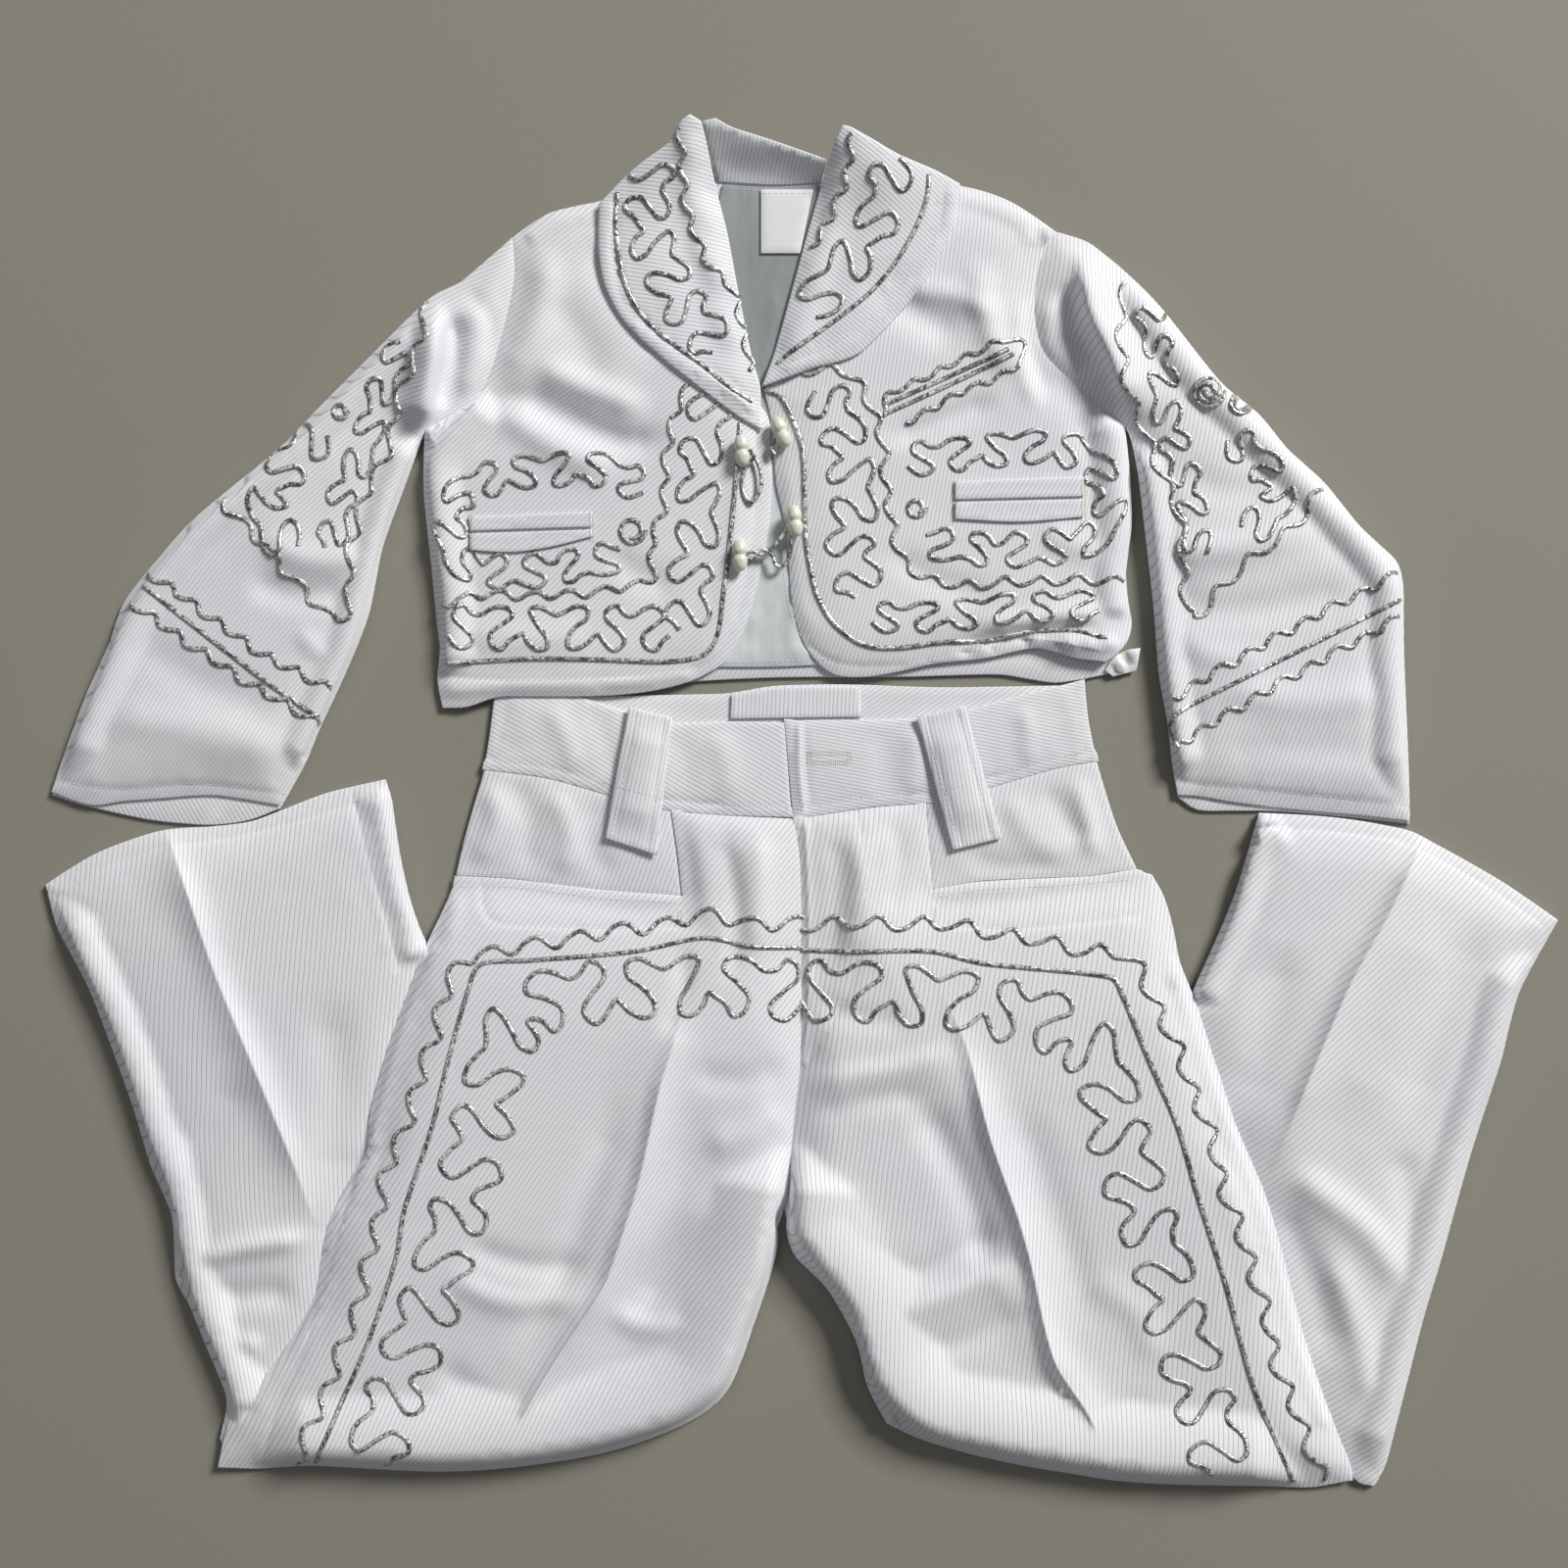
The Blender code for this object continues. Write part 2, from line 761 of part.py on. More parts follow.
def place(mesh, name, finish, suit):
    """Object for a mesh in world points, with its origin in its own middle."""
    points = np.array([vertex.co[:] for vertex in mesh.vertices])
    middle = Vector((points.min(axis=0) + points.max(axis=0)) / 2)
    middle.z = float(points[:, 2].min())
    for vertex in mesh.vertices:
        vertex.co -= middle
    mesh.materials.append(finish_material(finish))
    piece = bpy.data.objects.new(name, mesh)
    piece.location = middle
    piece.parent = suit
    bpy.context.collection.objects.link(piece)
    return piece


def curve_through(outline, longest):
    """Closed smooth line through outline spots, with corners kept. Rows: x, y, under."""
    count = len(outline)
    line = []
    for index, spot in enumerate(outline):
        after = outline[(index + 1) % count]
        start = np.array([spot.x, spot.y])
        end = np.array([after.x, after.y])
        before = outline[index - 1]
        beyond = outline[(index + 2) % count]
        out = end - start if spot.sharp else (end - np.array([before.x, before.y])) / 2
        into = end - start if after.sharp else (np.array([beyond.x, beyond.y]) - start) / 2
        reach = float(np.linalg.norm(end - start))
        out = out * min(1.0, reach / max(1e-6, float(np.linalg.norm(out))))
        into = into * min(1.0, reach / max(1e-6, float(np.linalg.norm(into))))
        parts = max(1, math.ceil(reach / longest - 0.2))
        for part in range(parts):
            t = part / parts
            a = 2 * t**3 - 3 * t**2 + 1
            b = t**3 - 2 * t**2 + t
            c = -2 * t**3 + 3 * t**2
            d = t**3 - t**2
            spot_at = a * start + b * out + c * end + d * into
            under = spot.under + (after.under - spot.under) * t
            line.append((spot_at[0], spot_at[1], under))
    line = np.array(line)
    turn = line[:, 0] * np.roll(line[:, 1], -1) - np.roll(line[:, 0], -1) * line[:, 1]
    return line[::-1].copy() if turn.sum() > 0 else line


def inset(line, distance):
    """Closed line moved inward by a distance in layout steps. The line runs clockwise in y down."""
    before = np.roll(line[:, :2], 1, axis=0)
    after = np.roll(line[:, :2], -1, axis=0)
    into = line[:, :2] - before
    into /= np.linalg.norm(into, axis=1)[:, None]
    out = after - line[:, :2]
    out /= np.linalg.norm(out, axis=1)[:, None]
    normal = np.stack([into[:, 1] + out[:, 1], -into[:, 0] - out[:, 0]], axis=1)
    normal /= np.linalg.norm(normal, axis=1)[:, None]
    share = np.maximum(0.45, normal[:, 0] * out[:, 1] - normal[:, 1] * out[:, 0])
    moved = line.copy()
    moved[:, :2] += normal * (distance / share)[:, None]
    return moved


def distance_to_path(points, path, closed):
    """Distance of each point to a line of straight runs."""
    path = np.asarray(path, dtype=float)
    ends = np.roll(path, -1, axis=0) if closed else path[1:]
    starts = path if closed else path[:-1]
    nearest = np.full(len(points), 1e9)
    for start, end in zip(starts, ends):
        run = end - start
        along = np.clip((points - start) @ run / max(1e-9, run @ run), 0.0, 1.0)
        gap = np.linalg.norm(points - (start + along[:, None] * run), axis=1)
        nearest = np.minimum(nearest, gap)
    return nearest


def inside(points, line):
    """Which points lie inside a closed line."""
    hit = np.zeros(len(points), dtype=bool)
    for (x0, y0), (x1, y1) in zip(line[:, :2], np.roll(line[:, :2], -1, axis=0)):
        spans = (y0 > points[:, 1]) != (y1 > points[:, 1])
        if y0 != y1:
            cross = x0 + (points[:, 1] - y0) * (x1 - x0) / (y1 - y0)
            hit ^= spans & (points[:, 0] < cross)
    return hit


def grid_inside(line, spacing):
    """Points of one sheet-wide triangular grid that lie well inside a closed line."""
    row_step = spacing * math.sqrt(3) / 2
    rows = range(int(line[:, 1].min() / row_step), int(line[:, 1].max() / row_step) + 2)
    points = []
    for row in rows:
        shift = spacing / 2 if row % 2 else 0.0
        first = int(line[:, 0].min() / spacing) - 1
        last = int(line[:, 0].max() / spacing) + 2
        points += [(column * spacing + shift, row * row_step) for column in range(first, last)]
    points = np.array(points)
    clear = distance_to_path(points, line[:, :2], True) > spacing * 0.42
    return points[inside(points, line) & clear]


def underside(panel, line, points):
    """Height of a panel's underside at points: edge heights carried in, crown and folds."""
    gaps = np.linalg.norm(points[:, None, :] - line[None, :, :2], axis=2)
    weights = 1.0 / (gaps + 1.0) ** 3
    height = (weights @ line[:, 2]) / weights.sum(axis=1)
    edge = distance_to_path(points, line[:, :2], True) * STEP / MM
    rise = np.clip(edge / panel.reach, 0.0, 1.0)
    height = height + panel.crown * rise * rise * (3 - 2 * rise)
    fade = 0.25 + 0.75 * np.clip(edge / 12.0, 0.0, 1.0)
    for fold in panel.folds:
        gap = distance_to_path(points, fold.path, False) * STEP / MM
        height = height + fold.height * np.exp(-(gap / fold.width) ** 2) * fade
    return height


def triangles_of(line, inner):
    """Flat triangles over a closed line and the points inside it."""
    flat = [Vector((x, -y)) for x, y in line[:, :2]] + [Vector((x, -y)) for x, y in inner]
    loop = list(range(len(line)))
    made = delaunay_2d_cdt(flat, [], [loop], 1, 1e-6)
    points = np.array([(v.x, -v.y) for v in made[0]])
    origin = [ids[0] if ids else -1 for ids in made[3]]
    return points, origin, made[2]


def panel_mesh(panel, line, points, origin, faces, top, bottom, side_rings=()):
    """Closed mesh of a panel from its flat triangles, its top and its bottom heights."""
    shape = bmesh.new()
    upper = [shape.verts.new(on_sheet(x, y, z)) for (x, y), z in zip(points, top)]
    lower = [shape.verts.new(on_sheet(x, y, z)) for (x, y), z in zip(points, bottom)]
    for face in faces:
        ring = list(face)
        a, b, c = (points[i] for i in ring[:3])
        if (b[0] - a[0]) * (c[1] - a[1]) - (b[1] - a[1]) * (c[0] - a[0]) > 0:
            ring.reverse()
        shape.faces.new([upper[i] for i in ring])
        shape.faces.new([lower[i] for i in reversed(ring)])
    where = {source: index for index, source in enumerate(origin) if source >= 0}
    loop = [where[i] for i in range(len(line))]
    levels = [[lower[i] for i in loop]]
    for share, outward in side_rings:
        ring_line = inset(line, -outward * MM / STEP)
        ring = []
        for place_in_loop, i in enumerate(loop):
            height = bottom[i] + (top[i] - bottom[i]) * share
            ring.append(shape.verts.new(on_sheet(*ring_line[place_in_loop, :2], height)))
        levels.append(ring)
    levels.append([upper[i] for i in loop])
    for below, above in zip(levels, levels[1:]):
        for i in range(len(loop)):
            j = (i + 1) % len(loop)
            shape.faces.new([below[i], above[i], above[j], below[j]])
    bmesh.ops.recalc_face_normals(shape, faces=shape.faces)
    mesh = bpy.data.meshes.new(panel.name)
    shape.to_mesh(mesh)
    shape.free()
    return mesh


def build_panel(panel, suit):
    """One cut of cloth as a wall of even thickness."""
    longest = panel.spacing * 1.05 if panel.spacing else 42
    line = inset(curve_through(panel.outline, longest), SEAM_HALF_GAP * MM / STEP)
    inner = grid_inside(line, panel.spacing) if panel.spacing else np.empty((0, 2))
    points, origin, faces = triangles_of(line, inner)
    bottom = underside(panel, line, points)
    mesh = panel_mesh(panel, line, points, origin, faces, bottom + panel.thick, bottom)
    return place(mesh, panel.name, panel.finish, suit)


def room_below(tree, x, y):
    """Lowest height of a piece's underside close round x, y of the sheet, in millimetres."""
    lowest = FOLDED_HEIGHT + 2 * LAYER_GAP
    for turn in range(8):
        angle = math.pi * turn / 4
        spot = on_sheet(x + 9 * math.cos(angle), y + 9 * math.sin(angle), FOLDED_HEIGHT)
        hit = tree.ray_cast(Vector((spot.x, spot.y, -0.1)), Vector((0, 0, 1)))
        if hit[0] is not None:
            lowest = min(lowest, hit[0].z / MM)
    return lowest


def build_folded(name, outline, cover, spacing, suit):
    """Hidden folded layers as one solid under a covering piece, layered at its edges."""
    line = inset(curve_through(outline, spacing * 1.05), SEAM_HALF_GAP * MM / STEP)
    points, origin, faces = triangles_of(line, grid_inside(line, spacing))
    tree = surface_of(cover)
    room = np.array([room_below(tree, x, y) for x, y in points]) - 2 * LAYER_GAP
    top = np.clip(room, 0.4, FOLDED_HEIGHT)
    blank = Panel(name, outline, TWILL, 0, 0, 1, spacing, [])
    rings = [(0.17, 0.25), (0.33, -0.25), (0.50, 0.25), (0.67, -0.25), (0.83, 0.2)]
    mesh = panel_mesh(blank, line, points, origin, faces, top, np.zeros(len(points)), rings)
    return place(mesh, name, TWILL, suit)


def surface_of(piece):
    """Search tree of a piece's world-space faces."""
    bpy.context.view_layer.update()
    matrix = piece.matrix_world
    points = [matrix @ vertex.co for vertex in piece.data.vertices]
    return BVHTree.FromPolygons(points, [list(face.vertices) for face in piece.data.polygons])


def height_on(tree, x, y):
    """Height of a piece's top at x, y of the sheet, in millimetres, or 0 where it isn't there."""
    found = 0.0
    for _ in range(3):
        spot = on_sheet(x, y, found or CLOTH)
        hit = tree.ray_cast(Vector((spot.x, spot.y, 0.1)), Vector((0, 0, -1)))
        if hit[0] is None:
            return found
        found = hit[0].z / MM
    return found


def build_border(name, carrier, path, suit):
    """Flat silver cord laid on a panel: a low ribbon with sloping sides."""
    tree = surface_of(carrier)
    path = np.array(path, dtype=float)
    rows = []
    for index in range(len(path) - 1):
        parts = max(1, round(float(np.linalg.norm(path[index + 1] - path[index])) / 20))
        for part in range(parts):
            rows.append(path[index] + (path[index + 1] - path[index]) * part / parts)
    rows.append(path[-1])
    rows = np.array(rows)
    ways = np.gradient(rows, axis=0)
    ways /= np.linalg.norm(ways, axis=1)[:, None]
    sides = np.stack([-ways[:, 1], ways[:, 0]], axis=1)
    half = CORD_WIDTH / 2 * MM / STEP
    profile = [(-half, 0.0), (half, 0.0), (half * 0.55, CORD_HEIGHT), (-half * 0.55, CORD_HEIGHT)]
    shape = bmesh.new()
    rings = []
    for spot, way, side in zip(rows, ways, sides):
        carried = max(
            height_on(tree, *(spot + side * across + way * along))
            for across in (-half, 0.0, half) for along in (-5.0, 0.0, 5.0))
        lift = carried + LAYER_GAP + 0.1
        rings.append([shape.verts.new(on_sheet(*(spot + side * across), lift + up))
                      for across, up in profile])
    for first, second in zip(rings, rings[1:]):
        for i in range(4):
            j = (i + 1) % 4
            shape.faces.new([first[i], first[j], second[j], second[i]])
    shape.faces.new(rings[0][::-1])
    shape.faces.new(rings[-1])
    bmesh.ops.recalc_face_normals(shape, faces=shape.faces)
    mesh = bpy.data.meshes.new(name)
    shape.to_mesh(mesh)
    shape.free()
    return place(mesh, name, SILVER, suit)


def seat_toggle(x, y, turn, length, carriers):
    """Height of a toggle's axis when its lowest points just clear what carries it."""
    way = np.array([math.cos(math.radians(turn)), -math.sin(math.radians(turn))])
    side = np.array([-way[1], way[0]])
    highest = 0.0
    for tree in [surface_of(carrier) for carrier in carriers]:
        for along in np.linspace(-length / 2, length / 2, 9):
            for across in np.linspace(-TOGGLE_RADIUS, TOGGLE_RADIUS, 9):
                spot = np.array([x, y]) + (way * along + side * across) * MM / STEP
                drop = math.sqrt(max(0.0, TOGGLE_RADIUS**2 - across**2))
                ends = 0.75 if abs(along) > length * 0.4 else 1.0
                highest = max(highest, height_on(tree, *spot) + drop * ends)
    return highest + LAYER_GAP + 0.1


def build_toggle(name, x, y, turn, length, carriers, suit):
    """Barrel toggle with a waist for its cord, turned about its own length."""
    axis_height = seat_toggle(x, y, turn, length, carriers)
    middle = on_sheet(x, y, axis_height)
    shape = bmesh.new()
    sides = 10
    rings = []
    along = Vector((math.cos(math.radians(turn)), math.sin(math.radians(turn)), 0))
    across = Vector((-along.y, along.x, 0))
    for share, width in TOGGLE_PROFILE:
        ring = []
        for side in range(sides):
            angle = 2 * math.pi * side / sides
            radius = width * TOGGLE_RADIUS * MM
            offset = across * math.cos(angle) * radius + Vector((0, 0, math.sin(angle) * radius))
            ring.append(shape.verts.new(middle + along * (share - 0.5) * length * MM + offset))
        rings.append(ring)
    for first, second in zip(rings, rings[1:]):
        for i in range(sides):
            j = (i + 1) % sides
            shape.faces.new([first[i], first[j], second[j], second[i]])
    shape.faces.new(rings[0][::-1])
    shape.faces.new(rings[-1])
    bmesh.ops.recalc_face_normals(shape, faces=shape.faces)
    mesh = bpy.data.meshes.new(name)
    shape.to_mesh(mesh)
    shape.free()
    mesh.shade_smooth()
    return place(mesh, name, IVORY, suit)


def build_loop(name, x, y, half_x, half_y, turn, carriers, suit):
    """Closed loop of frog cord that lies on the fronts."""
    trees = [surface_of(carrier) for carrier in carriers]
    corners = [(x + a * half_x, y + b * half_y) for a in (-1, 0, 1) for b in (-1, 0, 1)]
    carried = max(height_on(tree, *corner) for tree in trees for corner in corners)
    height = carried + LAYER_GAP + FROG_CORD / 2
    shape = bmesh.new()
    count, sides = 18, 6
    rings = []
    lean = math.radians(turn)
    for step in range(count):
        angle = 2 * math.pi * step / count
        local = np.array([half_x * math.cos(angle), half_y * math.sin(angle)])
        spot = np.array([
            x + local[0] * math.cos(lean) - local[1] * math.sin(lean),
            y + local[0] * math.sin(lean) + local[1] * math.cos(lean),
        ])
        middle = on_sheet(*spot, height)
        outward = Vector((half_y * math.cos(angle), -half_x * math.sin(angle), 0)).normalized()
        ring = []
        for side in range(sides):
            around = 2 * math.pi * side / sides
            radius = FROG_CORD / 2 * MM
            ring.append(shape.verts.new(
                middle + outward * math.cos(around) * radius
                + Vector((0, 0, math.sin(around) * radius))))
        rings.append(ring)
    for index, first in enumerate(rings):
        second = rings[(index + 1) % count]
        for i in range(sides):
            j = (i + 1) % sides
            shape.faces.new([first[i], first[j], second[j], second[i]])
    bmesh.ops.recalc_face_normals(shape, faces=shape.faces)
    mesh = bpy.data.meshes.new(name)
    shape.to_mesh(mesh)
    shape.free()
    return place(mesh, name, SILVER, suit)


def sleeve_outline(armhole, inner, cuff, outer, under):
    """Outline of one sleeve cloth from its armhole, inner edge, cuff and outer edge."""
    return spots(armhole + inner + cuff + outer, under)


def cloth(name, outline, thick=CLOTH, crown=0.0, reach=20.0, spacing=None, finish=TWILL):
    """Panel with the folds that the table gives it."""
    return Panel(name, outline, finish, thick, crown, reach, spacing, FOLDS.get(name, []))


def all_panels():
    """Every cut of cloth, from the floor up."""
    panels = [
        cloth("jacket_back", spots(JACKET_BACK, FLOOR)),
        cloth("jacket_lining", spots(LINING), SATIN, finish=SATIN_BLUE),
        cloth("hem_lining_left", spots(HEM_LINING), SATIN, finish=SATIN_BLUE),
        cloth("care_label", spots(CARE_LABEL), LABEL, finish=LABEL_WHITE),
        cloth("jacket_front_right", spots(FRONT_RIGHT), CLOTH, 2.0, 20.0, MEDIUM),
        cloth("jacket_front_left", spots(FRONT_LEFT), CLOTH, 2.0, 20.0, MEDIUM),
        cloth("collar_stand", spots(COLLAR_STAND), CLOTH, 0.0, 10.0, FINE),
        cloth("collar_right", spots(COLLAR_RIGHT), COLLAR_CLOTH, 1.0, 10.0, FINE),
        cloth("collar_left", spots(COLLAR_LEFT), COLLAR_CLOTH, 1.0, 10.0, FINE),
        cloth("waistband_back", spots(BAND_BACK)),
        cloth("waistband_tab", spots(BAND_TAB)),
        cloth("waistband_front_right", spots(BAND_FRONT_RIGHT), CLOTH, 1.2, 12.0, MEDIUM),
        cloth("waistband_front_left", spots(BAND_FRONT_LEFT), CLOTH, 1.2, 12.0, MEDIUM),
        cloth("seat_back", spots(SEAT)),
        cloth("hip_yoke_right", spots(YOKE_RIGHT), CLOTH, 1.2, 14.0, MEDIUM),
        cloth("hip_yoke_left", spots(YOKE_LEFT), CLOTH, 1.2, 14.0, MEDIUM),
        cloth("thigh_right", spots(THIGH_RIGHT), CLOTH, 3.2, 22.0, COARSE),
        cloth("thigh_left", spots(THIGH_LEFT), CLOTH, 3.2, 22.0, COARSE),
        cloth("lower_leg_back_right", spots(LOWER_RIGHT), CLOTH, 2.2, 30.0, COARSE),
        cloth("lower_leg_back_left", spots(LOWER_LEFT), CLOTH, 2.2, 30.0, COARSE),
        cloth("lower_leg_front_right", spots([row[:2] + row[3:] for row in LOWER_RIGHT], FLOOR)),
        cloth("lower_leg_front_left", spots([row[:2] + row[3:] for row in LOWER_LEFT], FLOOR)),
        cloth("belt_loop_right", spots(BELT_LOOP_RIGHT), LOOP_CLOTH),
        cloth("belt_loop_left", spots(BELT_LOOP_LEFT), LOOP_CLOTH),
    ]
    sides = (
        ("right", ARMHOLE_RIGHT, SLEEVE_INNER_RIGHT, CUFF_UPPER_RIGHT, CUFF_UNDER_RIGHT,
         SLEEVE_OUTER_RIGHT),
        ("left", ARMHOLE_LEFT, SLEEVE_INNER_LEFT, CUFF_UPPER_LEFT, CUFF_UNDER_LEFT,
         SLEEVE_OUTER_LEFT),
    )
    for side, armhole, inner, upper_cuff, under_cuff, outer in sides:
        upper = sleeve_outline(armhole, inner, upper_cuff, outer, SECOND)
        under = sleeve_outline(armhole, inner, under_cuff, outer, FLOOR)
        panels.append(cloth("sleeve_upper_" + side, upper, CLOTH, 3.0, 24.0, COARSE))
        panels.append(cloth("sleeve_under_" + side, under))
    return panels


def build_welts(pieces, suit):
    """Pocket welts that lie flat on the fronts."""
    for name, rows in WELT_ROWS.items():
        carrier = pieces["jacket_front_" + name.split("_")[1]]
        tree = surface_of(carrier)
        carried = max(height_on(tree, x, y) for x, y in rows)
        outline = spots([(x, y, "corner") for x, y in rows], carried + LAYER_GAP + 0.15)
        pieces[name] = build_panel(cloth(name, outline), suit)


def centre_on_origin(pieces, suit):
    """Move the suit so that its box stands on the origin by the middle of its underside."""
    bpy.context.view_layer.update()
    points = np.array([
        (piece.matrix_world @ vertex.co)[:]
        for piece in pieces.values()
        for vertex in piece.data.vertices
    ])
    low, high = points.min(axis=0), points.max(axis=0)
    suit.location = (-(low[0] + high[0]) / 2, -(low[1] + high[1]) / 2, -low[2])
    bpy.context.view_layer.update()


def main():
    """Build the suit from the floor up."""
    for old in list(bpy.data.objects):
        bpy.data.objects.remove(old, do_unlink=True)
    suit = bpy.data.objects.new("suit", None)
    bpy.context.collection.objects.link(suit)
    panels = {panel.name: panel for panel in all_panels()}
    pieces = {name: build_panel(panel, suit) for name, panel in panels.items()}
    for side, rows in (("right", FOLDED_RIGHT), ("left", FOLDED_LEFT)):
        name = "folded_leg_" + side
        pieces[name] = build_folded(name, spots(rows), pieces["thigh_" + side], COARSE, suit)
    build_welts(pieces, suit)
    for name, (carrier, path) in BORDERS.items():
        pieces[name] = build_border(name, pieces[carrier], path, suit)
    for name, x, y, turn, length, carrier in TOGGLES:
        border = carrier.replace("jacket", "cord")
        carriers = [pieces[carrier], pieces[border]]
        pieces[name] = build_toggle(name, x, y, turn, length, carriers, suit)
    fronts = (pieces["jacket_front_right"], pieces["jacket_front_left"])
    for name, x, y, half_x, half_y, turn in FROG_LOOPS:
        pieces[name] = build_loop(name, x, y, half_x, half_y, turn, fronts, suit)
    centre_on_origin(pieces, suit)


main()
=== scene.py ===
"""Looks of a child's charro suit laid flat: white ribbed twill, pale satin and silver cord.

Places are read from the layout sheet that the solids were drawn on: 1600 by 1600 steps of half a
millimetre, x to the right and y down, seen from straight above. Heights are in millimetres above
the surface that the suit lies on. Right and left are the wearer's, so the right half of the suit
lies on the left of the sheet.
"""

import logging
import math
from dataclasses import dataclass, field
from enum import Enum

import bpy
import numpy as np
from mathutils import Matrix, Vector, noise
from mathutils.bvhtree import BVHTree
from mathutils.geometry import delaunay_2d_cdt


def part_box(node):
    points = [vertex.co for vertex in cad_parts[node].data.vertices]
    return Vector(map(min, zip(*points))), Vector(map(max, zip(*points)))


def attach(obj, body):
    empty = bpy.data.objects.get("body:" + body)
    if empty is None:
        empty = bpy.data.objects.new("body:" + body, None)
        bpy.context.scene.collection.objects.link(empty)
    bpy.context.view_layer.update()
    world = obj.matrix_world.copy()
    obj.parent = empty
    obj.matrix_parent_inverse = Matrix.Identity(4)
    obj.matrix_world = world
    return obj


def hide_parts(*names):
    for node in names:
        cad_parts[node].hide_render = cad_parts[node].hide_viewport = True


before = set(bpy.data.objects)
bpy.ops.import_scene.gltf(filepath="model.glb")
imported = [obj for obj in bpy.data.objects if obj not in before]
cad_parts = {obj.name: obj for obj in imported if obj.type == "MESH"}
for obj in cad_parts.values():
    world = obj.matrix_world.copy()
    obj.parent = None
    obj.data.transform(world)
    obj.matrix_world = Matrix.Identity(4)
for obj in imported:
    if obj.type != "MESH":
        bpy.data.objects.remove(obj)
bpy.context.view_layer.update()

MM = 0.001
STEP = 0.5
# Points of the sheet, as tuples or as text such as "516,392 570,424".
Path = str | list[tuple[float, float]]


class Slot(Enum):
    """Names of material slots."""

    TWILL = "white_twill"
    SATIN = "pale_satin"
    TAPE = "label_tape"
    CORD = "silver_cord"
    RESIN = "ivory_resin"


class Line(Enum):
    """Ways in which a silver cord runs along its path."""

    PLAIN = "plain"
    WAVY = "wavy"
    MEANDER = "meander"


@dataclass(frozen=True)
class LayoutSheet:
    """The sheet that places are read from, and the eye that looks down on its middle."""

    middle: float = 800.0
    eye: float = 858.0
    shift_x: float = -8.98375
    shift_y: float = 12.21736

    def world(self, rows: np.ndarray) -> np.ndarray:
        """Places in metres of rows on the sheet.

        Args:
            rows: Columns x and y in steps of the sheet, and height in millimetres.

        Returns:
            Rows of x, y and z in metres.
        """
        pull = 1.0 - rows[:, 2] / self.eye
        x = (rows[:, 0] - self.middle) * STEP * pull + self.shift_x
        y = (self.middle - rows[:, 1]) * STEP * pull + self.shift_y
        return np.stack([x, y, rows[:, 2]], axis=1) * MM

    def rows(self, places: np.ndarray) -> np.ndarray:
        """Rows on the sheet of places in metres.

        Args:
            places: Rows of x, y and z in metres.

        Returns:
            Columns x and y in steps of the sheet, and height in millimetres.
        """
        high = places[:, 2] / MM
        pull = 1.0 - high / self.eye
        x = (places[:, 0] / MM - self.shift_x) / STEP / pull + self.middle
        y = self.middle - (places[:, 1] / MM - self.shift_y) / STEP / pull
        return np.stack([x, y, high], axis=1)


SHEET = LayoutSheet()


# ---------------------------------------------------------------------------- nodes and finishes


class Sketch:
    """Adds nodes to a node tree and joins them."""

    def __init__(self, tree: bpy.types.NodeTree) -> None:
        """Keep the tree that nodes go to."""
        self.tree = tree

    def node(self, kind: str, inputs: dict | None = None, **settings: object) -> bpy.types.Node:
        """Add a node.

        Args:
            kind: Blender's name of the node's kind.
            inputs: Values or sockets for its inputs, by name or number.
            **settings: Properties of the node.

        Returns:
            The node.
        """
        made = self.tree.nodes.new(kind)
        for name, value in settings.items():
            setattr(made, name, value)
        for name, value in (inputs or {}).items():
            if isinstance(value, bpy.types.NodeSocket):
                self.tree.links.new(value, made.inputs[name])
            else:
                made.inputs[name].default_value = value
        return made

    def place(self) -> bpy.types.NodeSocket:
        """Socket of the place in metres."""
        return self.node("ShaderNodeTexCoord").outputs["Object"]

    def maths(self, operation: str, *values: object) -> bpy.types.NodeSocket:
        """Result socket of a Math node with those inputs."""
        return self.node(
            "ShaderNodeMath", dict(enumerate(values)), operation=operation).outputs[0]

    def feed(self, value: bpy.types.NodeSocket, taker: bpy.types.Node, name: str) -> None:
        """Link a socket to a node's input."""
        self.tree.links.new(value, taker.inputs[name])

    def noise(self, vector: object, scale: float, detail: float = 2.0) -> bpy.types.NodeSocket:
        """Factor socket of a noise texture."""
        return self.node("ShaderNodeTexNoise", {
            "Vector": vector, "Scale": scale, "Detail": detail}).outputs["Fac"]

    def blend(self, share: object, first: object, second: object) -> bpy.types.NodeSocket:
        """Colour socket that goes from the first colour to the second."""
        return self.node(
            "ShaderNodeMix", {0: share, 6: first, 7: second}, data_type="RGBA").outputs[2]

    def ramp(self, value: object, low: float, high: float) -> bpy.types.NodeSocket:
        """Smooth share from 0 at the low value to 1 at the high one."""
        return self.node(
            "ShaderNodeMapRange", {"Value": value, "From Min": low, "From Max": high},
            interpolation_type="SMOOTHSTEP").outputs[0]


